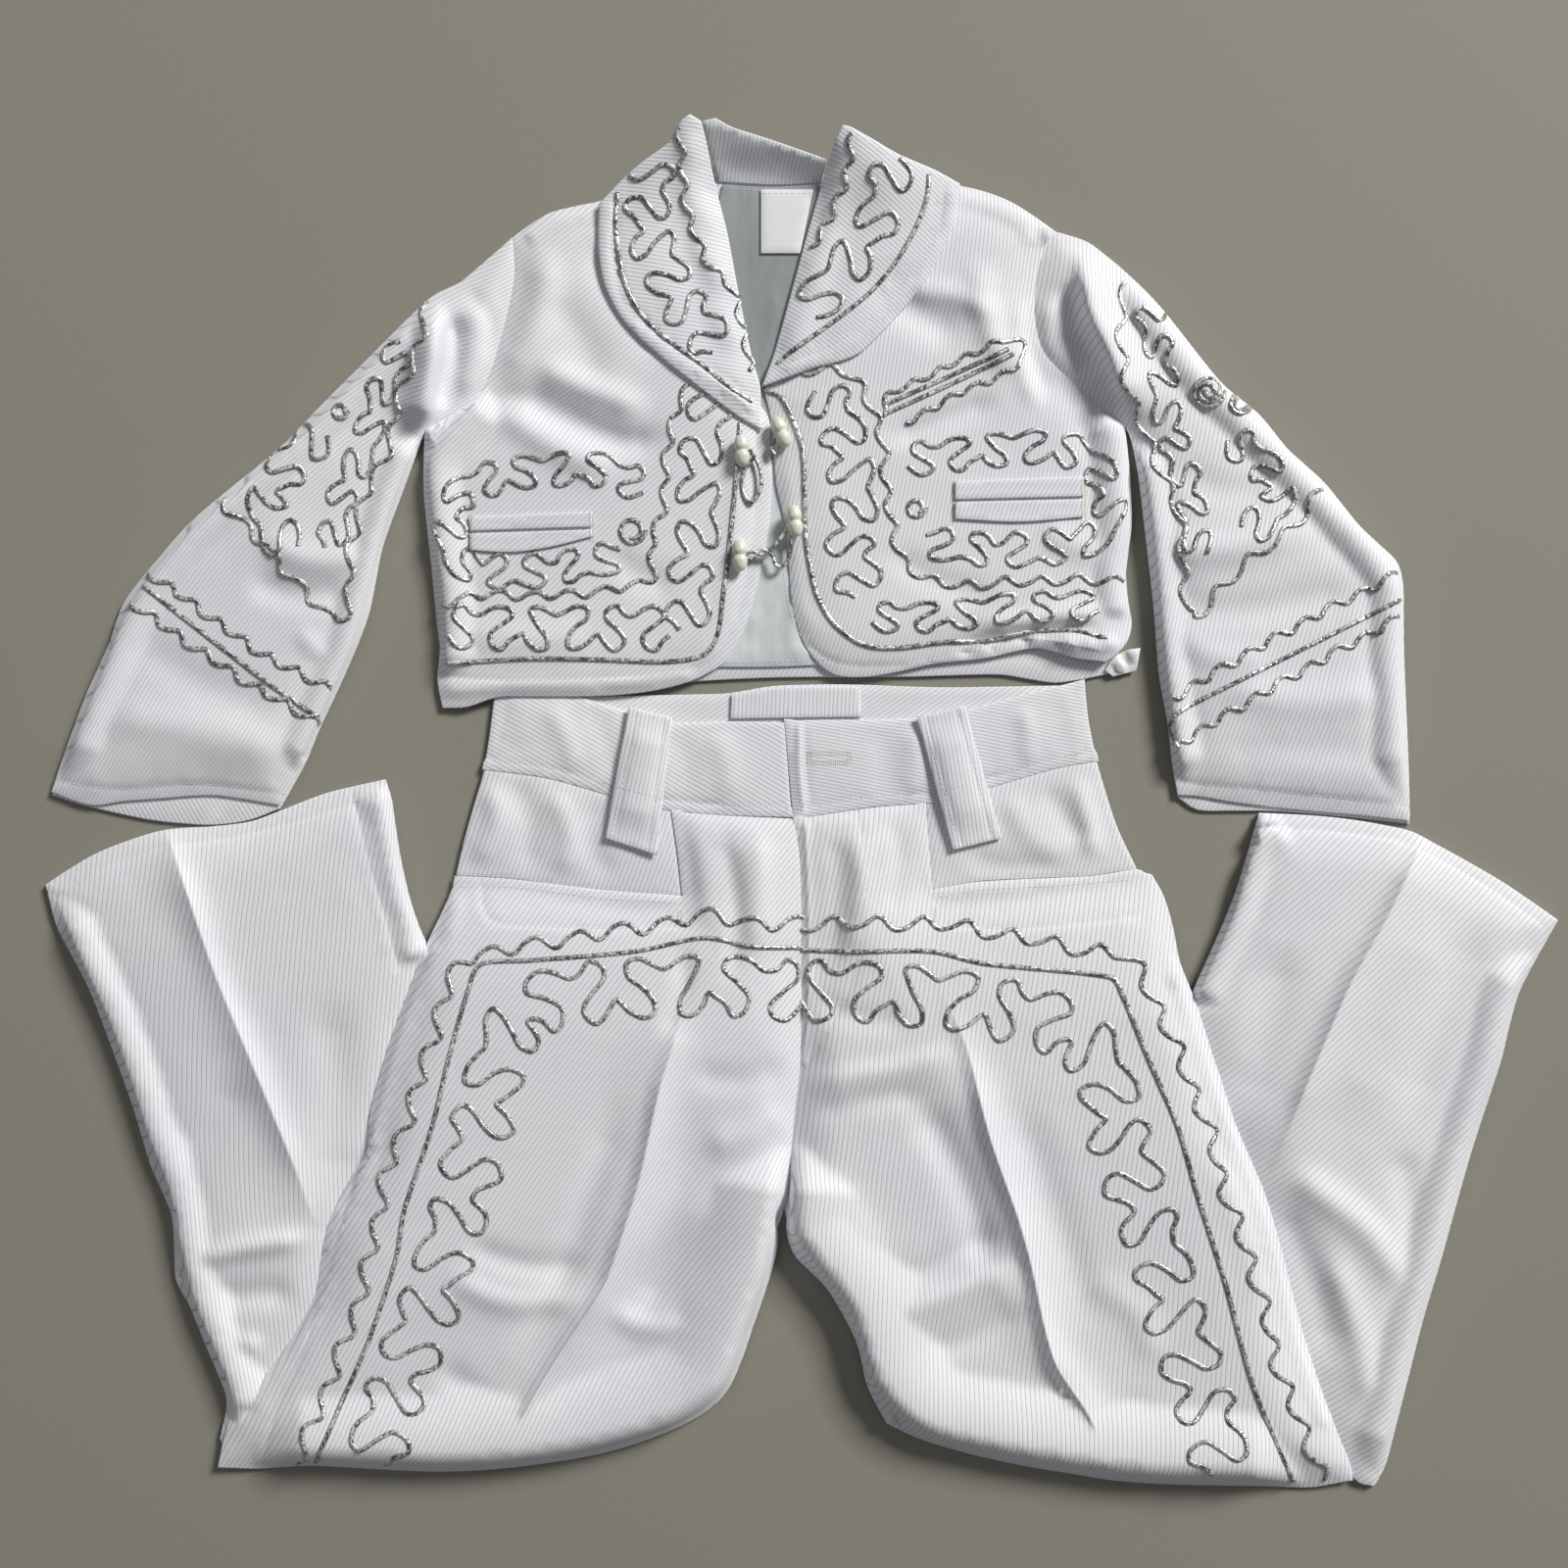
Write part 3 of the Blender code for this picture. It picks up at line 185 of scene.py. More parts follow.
@dataclass(frozen=True)
class Finish:
    """A finish, made as one material the first time it is asked for."""

    name: str
    colour: tuple[float, float, float]
    roughness: float

    def material(self) -> bpy.types.Material:
        """Material of the finish."""
        made = bpy.data.materials.get(self.name)
        if made is None:
            made = bpy.data.materials.new(self.name)
            made.use_nodes = True
            shader = made.node_tree.nodes["Principled BSDF"]
            shader.inputs["Base Color"].default_value = (*self.colour, 1.0)
            shader.inputs["Roughness"].default_value = self.roughness
            self.paint(Sketch(made.node_tree), shader)
        return made

    def paint(self, sketch: Sketch, shader: bpy.types.Node) -> None:
        """Add the finish's own nodes.

        Args:
            sketch: Where nodes are added.
            shader: The material's Principled shader.
        """

    @staticmethod
    def emboss(sketch: Sketch, shader: bpy.types.Node, height: object,
               strength: float, distance: float) -> None:
        """Raise the surface by a height socket.

        Args:
            sketch: Where nodes are added.
            shader: The material's Principled shader.
            height: Socket of the height, from 0 to 1.
            strength: Strength of the bump.
            distance: Real height in metres.
        """
        bump = sketch.node("ShaderNodeBump", {
            "Height": height, "Strength": strength, "Distance": distance})
        sketch.tree.links.new(bump.outputs[0], shader.inputs["Normal"])


@dataclass(frozen=True)
class RibbedTwill(Finish):
    """White twill with a wide diagonal rib and a fine yarn across it."""

    # Colour of the painted shade in the grooves between the ribs.
    groove_shade: tuple[float, float, float] = (0.50, 0.505, 0.54)
    shade: tuple[float, float, float] = (0.83, 0.84, 0.875)
    rib_height: float = 0.00028

    def paint(self, sketch: Sketch, shader: bpy.types.Node) -> None:
        """Ribs from the weave map with painted shade in their grooves, yarns across them and a
        faint unevenness.
        """
        weave = sketch.node("ShaderNodeUVMap", uv_map="weave").outputs["UV"]
        place = sketch.place()
        parts = sketch.node("ShaderNodeSeparateXYZ", {"Vector": weave})
        stray = sketch.maths("SUBTRACT", sketch.noise(place, 34.0, 1.0), 0.5)
        across = sketch.maths("MULTIPLY_ADD", stray, 0.5, parts.outputs["X"])
        ridge = sketch.maths("SINE", sketch.maths(
            "MULTIPLY", sketch.maths("FRACT", across), math.pi))
        crest = sketch.maths("POWER", ridge, 0.30)
        slant = sketch.maths("MULTIPLY_ADD", parts.outputs["Y"], 26.0,
                             sketch.maths("MULTIPLY", across, 6.3))
        yarn = sketch.maths("MULTIPLY_ADD", sketch.maths("SINE", slant), 0.5, 0.5)
        fuzz = sketch.noise(place, 2600.0, 3.0)
        patch = sketch.noise(place, 9.0, 3.0)
        tone = sketch.blend(sketch.ramp(patch, 0.32, 0.7), (*self.shade, 1.0), (*self.colour, 1.0))
        # Painted shade: the grooves between the ribs take the darker groove colour.
        open_share = sketch.ramp(ridge, 0.0, 0.42)
        tone = sketch.blend(open_share, (*self.groove_shade, 1.0), tone)
        thread = sketch.maths("MULTIPLY_ADD", yarn, 0.05, 0.95)
        grain = sketch.maths("MULTIPLY", thread, sketch.maths("MULTIPLY_ADD", fuzz, 0.10, 0.95))
        tone = sketch.node("ShaderNodeVectorMath", {0: tone, "Scale": grain},
                           operation="SCALE").outputs[0]
        sketch.feed(tone, shader, "Base Color")
        rough = sketch.maths("MULTIPLY_ADD", patch, 0.14, self.roughness - 0.07)
        sketch.feed(rough, shader, "Roughness")
        height = sketch.maths("ADD", sketch.maths("MULTIPLY", crest, 0.8), sketch.maths(
            "ADD", sketch.maths("MULTIPLY", yarn, 0.10), sketch.maths("MULTIPLY", fuzz, 0.16)))
        shader.inputs["Sheen Weight"].default_value = 0.18
        shader.inputs["Sheen Roughness"].default_value = 0.45
        shader.inputs["Specular IOR Level"].default_value = 0.28
        self.emboss(sketch, shader, height, 0.8, self.rib_height)


@dataclass(frozen=True)
class PaleSatin(Finish):
    """Thin lining satin: glossy, with a fine warp, soft ripples and painted shade that darkens it
    towards the neck.
    """

    ripple: float = 0.0012
    # Share of the colour that is left at the neck, where shade is painted in.
    neck_painted_shade: float = 0.48

    def paint(self, sketch: Sketch, shader: bpy.types.Node) -> None:
        """Warp threads, ripples, cloudy tone and painted shade towards the neck."""
        place = sketch.place()
        stretch = sketch.node("ShaderNodeMapping", {
            "Vector": place, "Scale": (1.0, 0.32, 1.0)}).outputs[0]
        cloud = sketch.noise(stretch, 60.0, 3.0)
        warp = sketch.noise(sketch.node("ShaderNodeMapping", {
            "Vector": place, "Scale": (1.0, 0.04, 1.0)}).outputs[0], 5200.0, 1.0)
        low = tuple(part * 0.86 for part in self.colour)
        tone = sketch.blend(sketch.ramp(cloud, 0.3, 0.7), (*low, 1.0), (*self.colour, 1.0))
        parts = sketch.node("ShaderNodeSeparateXYZ", {"Vector": place})
        # Painted shade: the colour darkens towards the neck, high on the sheet, where the raised
        # collar shades the lining.
        neck_shade_share = sketch.ramp(parts.outputs["Y"], 0.13, 0.25)
        tone = sketch.node("ShaderNodeVectorMath", {0: tone, "Scale": sketch.maths(
            "MULTIPLY_ADD", neck_shade_share, self.neck_painted_shade - 1.0, 1.0)}, operation="SCALE").outputs[0]
        sketch.feed(tone, shader, "Base Color")
        rough = sketch.maths("MULTIPLY_ADD", warp, 0.16, self.roughness - 0.08)
        sketch.feed(rough, shader, "Roughness")
        shader.inputs["Specular IOR Level"].default_value = 0.62
        shader.inputs["Anisotropic"].default_value = 0.45
        height = sketch.maths("ADD", cloud, sketch.maths("MULTIPLY", warp, 0.02))
        self.emboss(sketch, shader, height, 0.9, self.ripple)


@dataclass(frozen=True)
class WovenTape(Finish):
    """Bare woven tape with a fine even weave."""

    def paint(self, sketch: Sketch, shader: bpy.types.Node) -> None:
        """A fine grid of threads."""
        place = sketch.place()
        parts = sketch.node("ShaderNodeSeparateXYZ", {"Vector": place})
        lines = [sketch.maths("SINE", sketch.maths("MULTIPLY", parts.outputs[axis], 13000.0))
                 for axis in ("X", "Y")]
        height = sketch.maths("MULTIPLY_ADD", sketch.maths("ADD", *lines), 0.25, 0.5)
        tone = sketch.blend(height, (*(part * 0.93 for part in self.colour), 1.0),
                            (*self.colour, 1.0))
        sketch.feed(tone, shader, "Base Color")
        self.emboss(sketch, shader, height, 0.4, 0.0001)


@dataclass(frozen=True)
class SilverLame(Finish):
    """Metal-thread cord: foils with painted glints and painted dark reflections on its back, and
    painted shade along both sides.
    """

    # The three colours below are painted light: dark reflections on the foils, shade along the
    # sides and glints.
    painted_dark_reflection: tuple[float, float, float] = (0.13, 0.135, 0.135)
    side: tuple[float, float, float] = (0.20, 0.205, 0.20)
    painted_glint: tuple[float, float, float] = (0.98, 0.98, 0.95)
    foil_length: float = 0.0011

    def paint(self, sketch: Sketch, shader: bpy.types.Node) -> None:
        """Foils in rows along the cord, each with a chance of a painted glint or a painted dark
        reflection.
        """
        along, around, back = (
            sketch.node("ShaderNodeAttribute", attribute_name=name).outputs["Fac"]
            for name in ("along", "around", "back"))
        place = sketch.place()
        slant = sketch.maths("MULTIPLY_ADD", along, 1 / self.foil_length,
                             sketch.maths("MULTIPLY", around, 1.7))
        cell = sketch.node("ShaderNodeCombineXYZ", {
            "X": slant, "Y": sketch.maths("MULTIPLY", around, 7.0),
            "Z": sketch.noise(place, 40.0, 0.0)})
        grain = sketch.node("ShaderNodeTexVoronoi", {
            "Vector": cell.outputs[0], "Scale": 1.0, "Randomness": 0.8})
        colour = sketch.node("ShaderNodeSeparateColor", {"Color": grain.outputs["Color"]})
        chance = colour.outputs["Red"]
        patch = sketch.noise(place, 110.0, 1.0)
        lit = sketch.maths("MULTIPLY_ADD", sketch.maths("SUBTRACT", patch, 0.5), 1.3, chance)
        # Painted light: bright foils are painted glints and dark foils are painted dark
        # reflections.
        body = sketch.blend(sketch.ramp(lit, 0.12, 0.46), (*self.painted_dark_reflection, 1.0), (*self.colour, 1.0))
        body = sketch.blend(sketch.ramp(lit, 0.58, 0.80), body, (*self.painted_glint, 1.0))
        hue = sketch.blend(colour.outputs["Blue"], (1.0, 0.985, 0.93, 1.0),
                           (0.93, 1.0, 0.99, 1.0))
        body = sketch.node("ShaderNodeMix", {0: 1.0, 6: body, 7: hue}, data_type="RGBA",
                           blend_type="MULTIPLY").outputs[2]
        # Painted shade: the cord darkens along both sides, away from its top.
        body = sketch.blend(sketch.ramp(back, 0.05, 0.5), (*self.side, 1.0), body)
        sketch.feed(body, shader, "Base Color")
        rough = sketch.maths("MULTIPLY_ADD", colour.outputs["Green"], -0.2, self.roughness)
        sketch.feed(rough, shader, "Roughness")
        shader.inputs["Metallic"].default_value = 0.5
        bulge = sketch.maths("SUBTRACT", 1.0, grain.outputs["Distance"])
        self.emboss(sketch, shader, bulge, 0.6, 0.0003)


@dataclass(frozen=True)
class IvoryResin(Finish):
    """Cast resin, faintly clouded, with a soft gloss."""

    def paint(self, sketch: Sketch, shader: bpy.types.Node) -> None:
        """Cloudy tone, a thin coat and fine scuffs."""
        place = sketch.place()
        cloud = sketch.noise(place, 240.0, 3.0)
        tone = sketch.blend(cloud, (*(part * 0.9 for part in self.colour), 1.0),
                            (*self.colour, 1.0))
        sketch.feed(tone, shader, "Base Color")
        shader.inputs["Subsurface Weight"].default_value = 0.12
        shader.inputs["Subsurface Radius"].default_value = (0.004, 0.003, 0.002)
        shader.inputs["Coat Weight"].default_value = 0.25
        shader.inputs["Coat Roughness"].default_value = 0.25
        self.emboss(sketch, shader, sketch.noise(place, 1500.0, 2.0), 0.12, 0.0002)


@dataclass(frozen=True)
class SpunThread(Finish):
    """Matt sewing thread with a faint twist."""

    def paint(self, sketch: Sketch, shader: bpy.types.Node) -> None:
        """A fine uneven twist."""
        place = sketch.place()
        twist = sketch.noise(place, 3800.0, 2.0)
        tone = sketch.blend(twist, (*(part * 0.82 for part in self.colour), 1.0),
                            (*self.colour, 1.0))
        sketch.feed(tone, shader, "Base Color")
        self.emboss(sketch, shader, twist, 0.5, 0.0002)


@dataclass(frozen=True)
class PaleFloor(Finish):
    """Plain pale floor with the faintest grain."""

    def paint(self, sketch: Sketch, shader: bpy.types.Node) -> None:
        """A fine grain."""
        place = sketch.place()
        grain = sketch.noise(place, 900.0, 3.0)
        tone = sketch.blend(grain, (*(part * 0.95 for part in self.colour), 1.0),
                            (*self.colour, 1.0))
        sketch.feed(tone, shader, "Base Color")
        self.emboss(sketch, shader, grain, 0.15, 0.0002)


TWILL = RibbedTwill("white_twill_cloth", (0.90, 0.905, 0.92), 0.74)
SATIN = PaleSatin("pale_satin_cloth", (0.74, 0.78, 0.79), 0.30)
PALE_HEM = PaleSatin("pale_satin_hem", (0.80, 0.81, 0.80), 0.36)
TAPE = WovenTape("label_tape_weave", (0.86, 0.87, 0.88), 0.62)
CORD = SilverLame("silver_lame_cord", (0.50, 0.52, 0.52), 0.42)
RESIN = IvoryResin("ivory_resin_cast", (0.80, 0.79, 0.68), 0.32)
WHITE_THREAD = SpunThread("white_thread", (0.84, 0.85, 0.88), 0.7)
CREAM_THREAD = SpunThread("cream_thread", (0.78, 0.74, 0.58), 0.7)
FLOOR = PaleFloor("pale_floor", (0.285, 0.27, 0.224), 0.8)


# ------------------------------------------------------------------------------- plane geometry


def smooth_path(path: Path, step: float, closed: bool = False) -> np.ndarray:
    """Smooth line through the points of a path.

    Args:
        path: Points on the sheet, with any further columns.
        step: Longest run between points of the line.
        closed: Whether the line comes back to its start.

    Returns:
        Points of the line, with the path's columns.
    """
    if isinstance(path, str):
        path = [tuple(map(float, spot.split(","))) for spot in path.split()]
    given = np.array(path, dtype=float)
    if closed:
        ends = np.vstack([given[-1:], given, given[:2]])
    else:
        ends = np.vstack([2 * given[:1] - given[1:2], given, 2 * given[-1:] - given[-2:-1]])
    line = []
    for before, start, end, after in zip(ends, ends[1:], ends[2:], ends[3:]):
        reach = float(np.linalg.norm((end - start)[:2]))
        out, into = (end - before) / 2, (after - start) / 2
        for way in (out, into):
            way *= min(1.0, reach / max(1e-6, float(np.linalg.norm(way[:2]))))
        for t in np.arange(max(1, math.ceil(reach / step))) / max(1, math.ceil(reach / step)):
            line.append((2 * t**3 - 3 * t**2 + 1) * start + (t**3 - 2 * t**2 + t) * out
                        + (3 * t**2 - 2 * t**3) * end + (t**3 - t**2) * into)
    if not closed:
        line.append(given[-1])
    return np.array(line)


def reach_of(points: np.ndarray, path: np.ndarray,
             closed: bool) -> tuple[np.ndarray, np.ndarray, np.ndarray]:
    """How far points lie from a path, and where along it.

    Args:
        points: Rows of x and y.
        path: Points of the path.
        closed: Whether the path comes back to its start.

    Returns:
        Distance of each point, its share of the path's length, and whether it lies on the
        path's right as seen on the sheet.
    """
    path = np.asarray(path, dtype=float)[:, :2]
    ends = np.roll(path, -1, axis=0) if closed else path[1:]
    starts = path if closed else path[:-1]
    lengths = np.linalg.norm(ends - starts, axis=1)
    total, gone = max(1e-9, float(lengths.sum())), 0.0
    nearest, share = np.full(len(points), 1e9), np.zeros(len(points))
    right = np.zeros(len(points), dtype=bool)
    for start, end, length in zip(starts, ends, lengths):
        run = end - start
        along = np.clip((points - start) @ run / max(1e-9, run @ run), 0.0, 1.0)
        gap = np.linalg.norm(points - (start + along[:, None] * run), axis=1)
        closer = gap < nearest
        nearest[closer] = gap[closer]
        share[closer] = (gone + along[closer] * length) / total
        off = points[closer] - start
        right[closer] = run[0] * off[:, 1] - run[1] * off[:, 0] > 0
        gone += length
    return nearest, share, right


def holds(line: np.ndarray, points: np.ndarray) -> np.ndarray:
    """Which points lie inside a closed line."""
    hit = np.zeros(len(points), dtype=bool)
    for (x0, y0), (x1, y1) in zip(line[:, :2], np.roll(line[:, :2], -1, axis=0)):
        if y0 != y1:
            spans = (y0 > points[:, 1]) != (y1 > points[:, 1])
            hit ^= spans & (points[:, 0] < x0 + (points[:, 1] - y0) * (x1 - x0) / (y1 - y0))
    return hit


def drawn_in(line: np.ndarray, distance: float | np.ndarray) -> np.ndarray:
    """Closed line moved inward, where it runs anticlockwise as seen from above.

    Args:
        line: Rows that start with x and y on the sheet.
        distance: How far to move, in steps of the sheet, the same all round or for each
            point. Below 0 is outward.

    Returns:
        The moved line, with its other columns unchanged.
    """
    into = line[:, :2] - np.roll(line[:, :2], 1, axis=0)
    out = np.roll(line[:, :2], -1, axis=0) - line[:, :2]
    into /= np.maximum(1e-9, np.linalg.norm(into, axis=1))[:, None]
    out /= np.maximum(1e-9, np.linalg.norm(out, axis=1))[:, None]
    normal = np.stack([into[:, 1] + out[:, 1], -into[:, 0] - out[:, 0]], axis=1)
    normal /= np.maximum(1e-9, np.linalg.norm(normal, axis=1))[:, None]
    share = np.maximum(0.5, normal[:, 0] * out[:, 1] - normal[:, 1] * out[:, 0])
    moved = line.copy()
    moved[:, :2] += normal * (distance / share)[:, None]
    return moved


def turned_left(line: np.ndarray) -> np.ndarray:
    """The closed line, run anticlockwise as seen from above."""
    x, y = line[:, 0], -line[:, 1]
    area = float((x * np.roll(y, -1) - np.roll(x, -1) * y).sum())
    return line if area > 0 else line[::-1].copy()


class TopOfSolid:
    """The upper surface of a CAD solid: its rim and its heights."""

    def __init__(self, node: str, rise: float = 0.6) -> None:
        """Read the solid's upper faces.

        Args:
            node: Name of the CAD node.
            rise: Least share of a face's normal that points up, for the face to be an upper one.
        """
        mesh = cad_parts[node].data
        places = np.empty(len(mesh.vertices) * 3, np.float32)
        mesh.vertices.foreach_get("co", places)
        corners = np.empty(len(mesh.loops), np.int32)
        mesh.loops.foreach_get("vertex_index", corners)
        keys = np.round(places.reshape(-1, 3).astype(float) * 1e7).astype(np.int64)
        _, first, same = np.unique(keys, axis=0, return_index=True, return_inverse=True)
        self.rows = SHEET.rows(places.reshape(-1, 3)[first].astype(float))
        faces = same.reshape(-1)[corners].reshape(-1, 3)
        a, b, c = (self.rows[faces[:, i]] * (1, -1, 1) for i in range(3))
        normal = np.cross(b - a, c - a)
        up = normal[:, 2] / np.maximum(1e-9, np.linalg.norm(normal, axis=1))
        self.faces = faces[up > rise]
        self.tree = BVHTree.FromPolygons(self.rows.tolist(), self.faces.tolist())

    def rim(self) -> np.ndarray:
        """Closed line round the upper faces: x, y and height, anticlockwise from above."""
        edges = {(int(f[i]), int(f[(i + 1) % 3])) for f in self.faces for i in range(3)}
        after = {a: b for a, b in edges if (b, a) not in edges}
        longest: list[int] = []
        while after:
            start, _ = next(iter(after.items()))
            loop, here = [], start
            while here in after:
                loop.append(here)
                here = after.pop(here)
            longest = max(longest, loop, key=len)
        return turned_left(self.rows[longest])

    def heights(self, points: np.ndarray) -> np.ndarray:
        """Height under each point, and the nearest height beyond the rim."""
        found = []
        for x, y in points:
            hit = self.tree.ray_cast(Vector((x, y, 200.0)), Vector((0, 0, -1)))
            if hit[0] is None:
                hit = self.tree.find_nearest(Vector((x, y, 4.0)))
            found.append(hit[0].z)
        return np.array(found)


def softened_rim(rim: np.ndarray, step: float, corner: float) -> np.ndarray:
    """Smooth a solid's rim between its corners.

    Args:
        rim: Closed line with heights.
        step: Longest run of the smooth line.
        corner: Turn in degrees from which a point stays a corner.

    Returns:
        The smooth closed line.
    """
    into = rim[:, :2] - np.roll(rim[:, :2], 1, axis=0)
    out = np.roll(rim[:, :2], -1, axis=0) - rim[:, :2]
    turn = np.degrees(np.arctan2(into[:, 0] * out[:, 1] - into[:, 1] * out[:, 0],
                                 (into * out).sum(axis=1)))
    corners = [i for i in range(len(rim)) if abs(turn[i]) > corner]
    if len(corners) < 2:
        return smooth_path(rim, step, closed=True)
    line = []
    for start, end in zip(corners, corners[1:] + [corners[0] + len(rim)]):
        run = rim[[i % len(rim) for i in range(start, end + 1)]]
        line.append(smooth_path(run, step)[:-1])
    return np.vstack(line)


# --------------------------------------------------------------------------------- cloth panels


@dataclass(frozen=True)
class Crease:
    """A ridge or trough that lies in the cloth.

    Attributes:
        path: Where it runs on the sheet.
        height: Height in millimetres, below 0 for a trough.
        width: Half its width in millimetres.
        keen: Whether it has a pressed edge of its own.
        lasts: Whether it runs at full height to its ends.
        right_width: Half its width on its path's right, where that differs.
    """

    path: Path
    height: float
    width: float
    keen: bool = False
    lasts: bool = False
    right_width: float | None = None

    def lift(self, points: np.ndarray) -> np.ndarray:
        """Height that it adds at points of the sheet."""
        gap, share, right = reach_of(points, smooth_path(self.path, 12.0), False)
        gap = gap * STEP / np.where(right, self.right_width or self.width, self.width)
        shape = 2 / (1 + np.exp(gap * 2.2)) if self.keen else np.exp(-gap**2)
        fade = 1.0 if self.lasts else np.clip(np.minimum(share, 1 - share) * 5, 0, 1) ** 1.3
        return self.height * shape * fade


@dataclass(frozen=True)
class Shoulder:
    """A rounded fold along an edge, where the cloth turns under.

    Attributes:
        path: The edge on the sheet.
        crest: Height in millimetres that the cloth reaches inside the edge.
        reach: How far inside the edge it reaches that height, in millimetres.
        settles: How far inside the edge it is level with the rest again, in millimetres.
    """

    path: Path
    crest: float
    reach: float = 9.0
    settles: float = 40.0

    def raised(self, points: np.ndarray, height: np.ndarray) -> np.ndarray:
        """Heights of points with the fold's rounded shape."""
        gap, share, _ = reach_of(points, smooth_path(self.path, 10.0), False)
        gap = np.maximum(0.0, gap * STEP - 0.7)
        near = np.clip(gap / self.reach, 0.0, 1.0)
        fall = np.clip((self.settles - gap) / (self.settles - self.reach), 0.0, 1.0)
        ends = np.clip(np.minimum(share, 1 - share) * 12, 0.0, 1.0)
        fold = 1.4 + (self.crest - 1.4) * np.sqrt(1 - (1 - near) ** 2) * (
            fall * fall * (3 - 2 * fall)) * ends
        over = np.clip((fold - height) / 1.2 + 0.5, 0.0, 1.0)
        return height + (fold - height) * over + 0.3 * over * (1 - over) * (gap > 0)


def ripples(path: Path, count: int, reach: float, height: float, width: float) -> list[Crease]:
    """Small gathers that stand across a seam.

    Args:
        path: The seam on the sheet.
        count: How many gathers.
        reach: Their length in steps of the sheet, on the path's right.
        height: Height of the tallest in millimetres.
        width: Half their width in millimetres.

    Returns:
        The gathers, uneven in place, length and height.
    """
    line = smooth_path(path, 4.0)
    made = []
    for index in range(count):
        share = (index + 0.5 + 0.3 * math.sin(index * 2.4)) / count
        spot = line[min(len(line) - 2, int(share * (len(line) - 1)))]
        way = line[min(len(line) - 1, int(share * (len(line) - 1)) + 1)] - spot
        side = np.array([-way[1], way[0]]) / max(1e-9, float(np.linalg.norm(way[:2])))
        far = reach * (0.7 + 0.4 * math.sin(index * 1.7))
        tall = height * (0.75 + 0.25 * math.cos(index * 3.1)) * (1 if index % 2 else -0.7)
        lean = way[:2] / max(1e-9, float(np.linalg.norm(way[:2]))) * 3 * math.sin(index)
        made.append(Crease([tuple(spot[:2] - side * 3), tuple(spot[:2] + side * far * 0.5 + lean),
                            tuple(spot[:2] + side * far)], tall, width))
    return made


